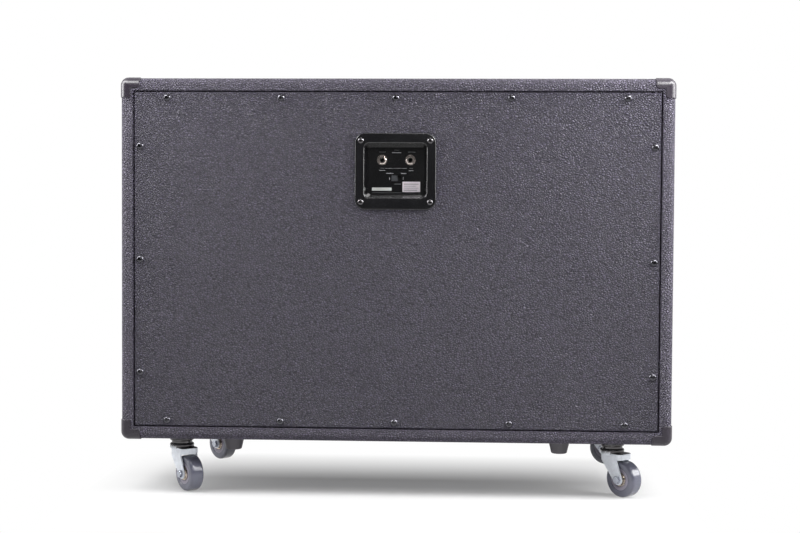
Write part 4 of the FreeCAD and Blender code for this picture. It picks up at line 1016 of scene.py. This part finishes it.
def make_casters():
    """Fork, axle and wheel of each caster, and the stems that they swivel on."""
    crown = 59.7 * MM
    for name in CASTERS:
        fork = finished(f"stamped_fork_{name}", merged(f"caster_fork_{name}"), ("zinc", "polished"),
                        f"swivel_{name}", "caster_zinc", f"caster_fork_{name}")
        # Above the crown the fork takes that dark steel: its raceway, and the top of the zinc plate as
        # painted shade under the cabinet.
        for polygon in fork.data.polygons:
            polygon.material_index = 1 if polygon.center.z > crown else 0
        soften(fork, ROUNDS["fork"])
        axle = finished(f"axle_pin_{name}", merged(f"caster_axle_{name}"), "bright", f"swivel_{name}",
                        "caster_zinc", f"caster_axle_{name}")
        soften(axle, ROUNDS["axle"])
        make_wheel(name)
    # The swivel discs take the dark steel, their darkness a painted reflection of the cabinet's underside.
    stems = finished("swivel_stems", merged("caster_stems"), "polished", "cabinet", "caster_zinc",
                     "caster_stems")
    soften(stems, ROUNDS["stem"], segments=3)


# Floor, light and camera

def in_mirrors(tree, path):
    """One for rays in mirrors and glass, otherwise nought."""
    return calc(tree, "ADD", path["Is Glossy Ray"], path["Is Transmission Ray"], clamp=True)


def seen_directly(tree):
    """One for rays from the camera and in mirrors and glass, otherwise nought."""
    path = node(tree, "ShaderNodeLightPath").outputs
    return calc(tree, "ADD", path["Is Camera Ray"], in_mirrors(tree, path), clamp=True)


# Where the floor turns plain white to the camera: axis, place where that begins and where it is full. Every
# fade begins under the cabinet, so this glowing white also paints light into its shadow, most under the far
# side.
FLOOR_FADES = (("Y", 0.05, -0.165), ("Y", 0.1, 0.4), ("X", -0.3, -0.4), ("X", 0.32, 0.44))

# Least share of that white, a painted light that lifts even the darkest shadow, half of the floor's width,
# and the brightness of its paint
FLOOR_PAINTED_LIFT = 0.15
FLOOR_HALF = 1.5
FLOOR_PAINT = 0.64

# Brightness of the studio as a fill and in mirrors on the camera's side, and the directions along Y between
# which that side turns into the white backdrop
WHITE = (1, 1, 1, 1)
STUDIO_FILL = 0.06
STUDIO_DIM = 0.08
DIM_FROM = 0.35
BACKDROP_FROM = -0.1


def floor_white_and_painted_light(tree):
    """Share of plain white on the floor, from the least share in the cabinet's shadow to one away from it,
    so that painted light lifts the shadow under the cabinet.
    """
    place = node(tree, "ShaderNodeSeparateXYZ", {0: node(tree, "ShaderNodeNewGeometry").outputs["Position"]})
    shade = 1.0 - FLOOR_PAINTED_LIFT
    for axis, begin, full in FLOOR_FADES:
        shade = calc(tree, "MULTIPLY", shade, ranged(tree, place.outputs[axis], begin, full, 1.0, 0.0))
    return calc(tree, "SUBTRACT", 1.0, shade)


def make_stage():
    """White floor that keeps the shadow, plain white to the camera away from the cabinet, with glowing white
    mixed into that shadow as painted light.
    """
    bm = bmesh.new()
    bmesh.ops.create_grid(bm, x_segments=1, y_segments=1, size=FLOOR_HALF)
    floor = new_object("floor", mesh_from("floor", bm))
    material = bpy.data.materials.new("white_floor_painted_light")
    material.use_nodes = True
    tree = material.node_tree
    tree.nodes.clear()
    paint = node(tree, "ShaderNodeBsdfDiffuse", {"Color": shaded(WHITE, FLOOR_PAINT)})
    white = node(tree, "ShaderNodeEmission", {"Color": WHITE, "Strength": 1.0})
    # Glowing white mixed into the shadow under the cabinet is painted light.
    plain = calc(tree, "MULTIPLY", floor_white_and_painted_light(tree), seen_directly(tree))
    blend = node(tree, "ShaderNodeMixShader", {0: plain, 1: paint.outputs[0], 2: white.outputs[0]})
    end = node(tree, "ShaderNodeOutputMaterial")
    tree.links.new(blend.outputs[0], end.inputs["Surface"])
    floor.data.materials.append(material)


def make_world():
    """Soft fill from all round: white backdrop, and a dim studio in mirrors on the camera's side."""
    world = bpy.data.worlds.new("studio")
    bpy.context.scene.world = world
    world.use_nodes = True
    tree = world.node_tree
    backdrop = tree.nodes["Background"]
    path = node(tree, "ShaderNodeLightPath").outputs
    looking = node(tree, "ShaderNodeSeparateXYZ", {0: node(tree, "ShaderNodeTexCoord").outputs["Generated"]})
    studio = ranged(tree, looking.outputs["Y"], DIM_FROM, BACKDROP_FROM, STUDIO_DIM, 1.0, smooth=True)
    soft = node(tree, "ShaderNodeMix", {0: in_mirrors(tree, path), 2: STUDIO_FILL, 3: studio}).outputs[0]
    strength = node(tree, "ShaderNodeMix", {0: path["Is Camera Ray"], 2: soft, 3: 1.0}).outputs[0]
    backdrop.inputs["Color"].default_value = WHITE
    tree.links.new(strength, backdrop.inputs["Strength"])


def make_lamp(name, place, target, size, power):
    """Soft rectangular lamp aimed at a point."""
    data = bpy.data.lights.new(name, "AREA")
    data.shape = "RECTANGLE"
    data.size, data.size_y = size
    data.energy = power
    lamp = new_object(name, data)
    lamp.location = place
    lamp.visible_camera = False
    lamp.rotation_euler = (Vector(target) - Vector(place)).to_track_quat("-Z", "Y").to_euler()


# Name, place, the point that it is aimed at, width and height, and watts of each lamp
LAMPS = (
    ("right_softbox", (-1.25, 0.4, 0.85), (-0.1, 0.18, 0.4), (0.6, 0.9), 13.5),
    ("right_rim_strip", (-1.3, 0.1, 0.75), (-0.38, 0.1, 0.4), (0.5, 0.9), 10.0),
    ("left_rim_strip", (1.3, 0.24, 0.8), (0.38, 0.1, 0.4), (0.5, 0.9), 16.0),
    ("upper_left_strip", (0.52, 0.4, 0.86), (0.3, 0.18, 0.45), (0.5, 0.16), 3.9),
    ("upper_right_strip", (-0.55, 0.4, 0.86), (-0.3, 0.18, 0.45), (0.5, 0.16), 5.8),
    ("front_softbox", (-0.4, 2.1, 1.25), (0.0, 0.18, 0.4), (0.8, 0.5), 10.5),
    ("overhead_softbox", (-0.1, 0.0, 2.1), (0.0, 0.0, 0.45), (1.6, 0.9), 12.0),
    ("rear_softbox", (0.0, -1.9, 0.9), (0.0, 0.0, 0.2), (2.4, 0.8), 14.0),
)


def make_camera():
    """Camera that stands where the photograph's stood."""
    data = bpy.data.cameras.new("photo_camera")
    data.lens = CAMERA_LENS
    camera = new_object("photo_camera", data)
    turn = (Matrix.Rotation(CAMERA_YAW, 4, "Z") @ Matrix.Rotation(CAMERA_TILT, 4, "X")
            @ Matrix.Rotation(CAMERA_ROLL, 4, "Z"))
    camera.matrix_world = Matrix.Translation(CAMERA_PLACE) @ turn
    bpy.context.scene.camera = camera


dress_kept_nodes()
make_carcass()
make_dishes()
make_screws()
make_jacks()
make_jack_bushes()
make_switch()
make_labels()
make_grips()
make_feet()
make_grille_cloth()
make_casters()
make_stage()
make_world()
for lamp in LAMPS:
    make_lamp(*lamp)
make_camera()
bpy.context.scene.view_settings.view_transform = "Standard"
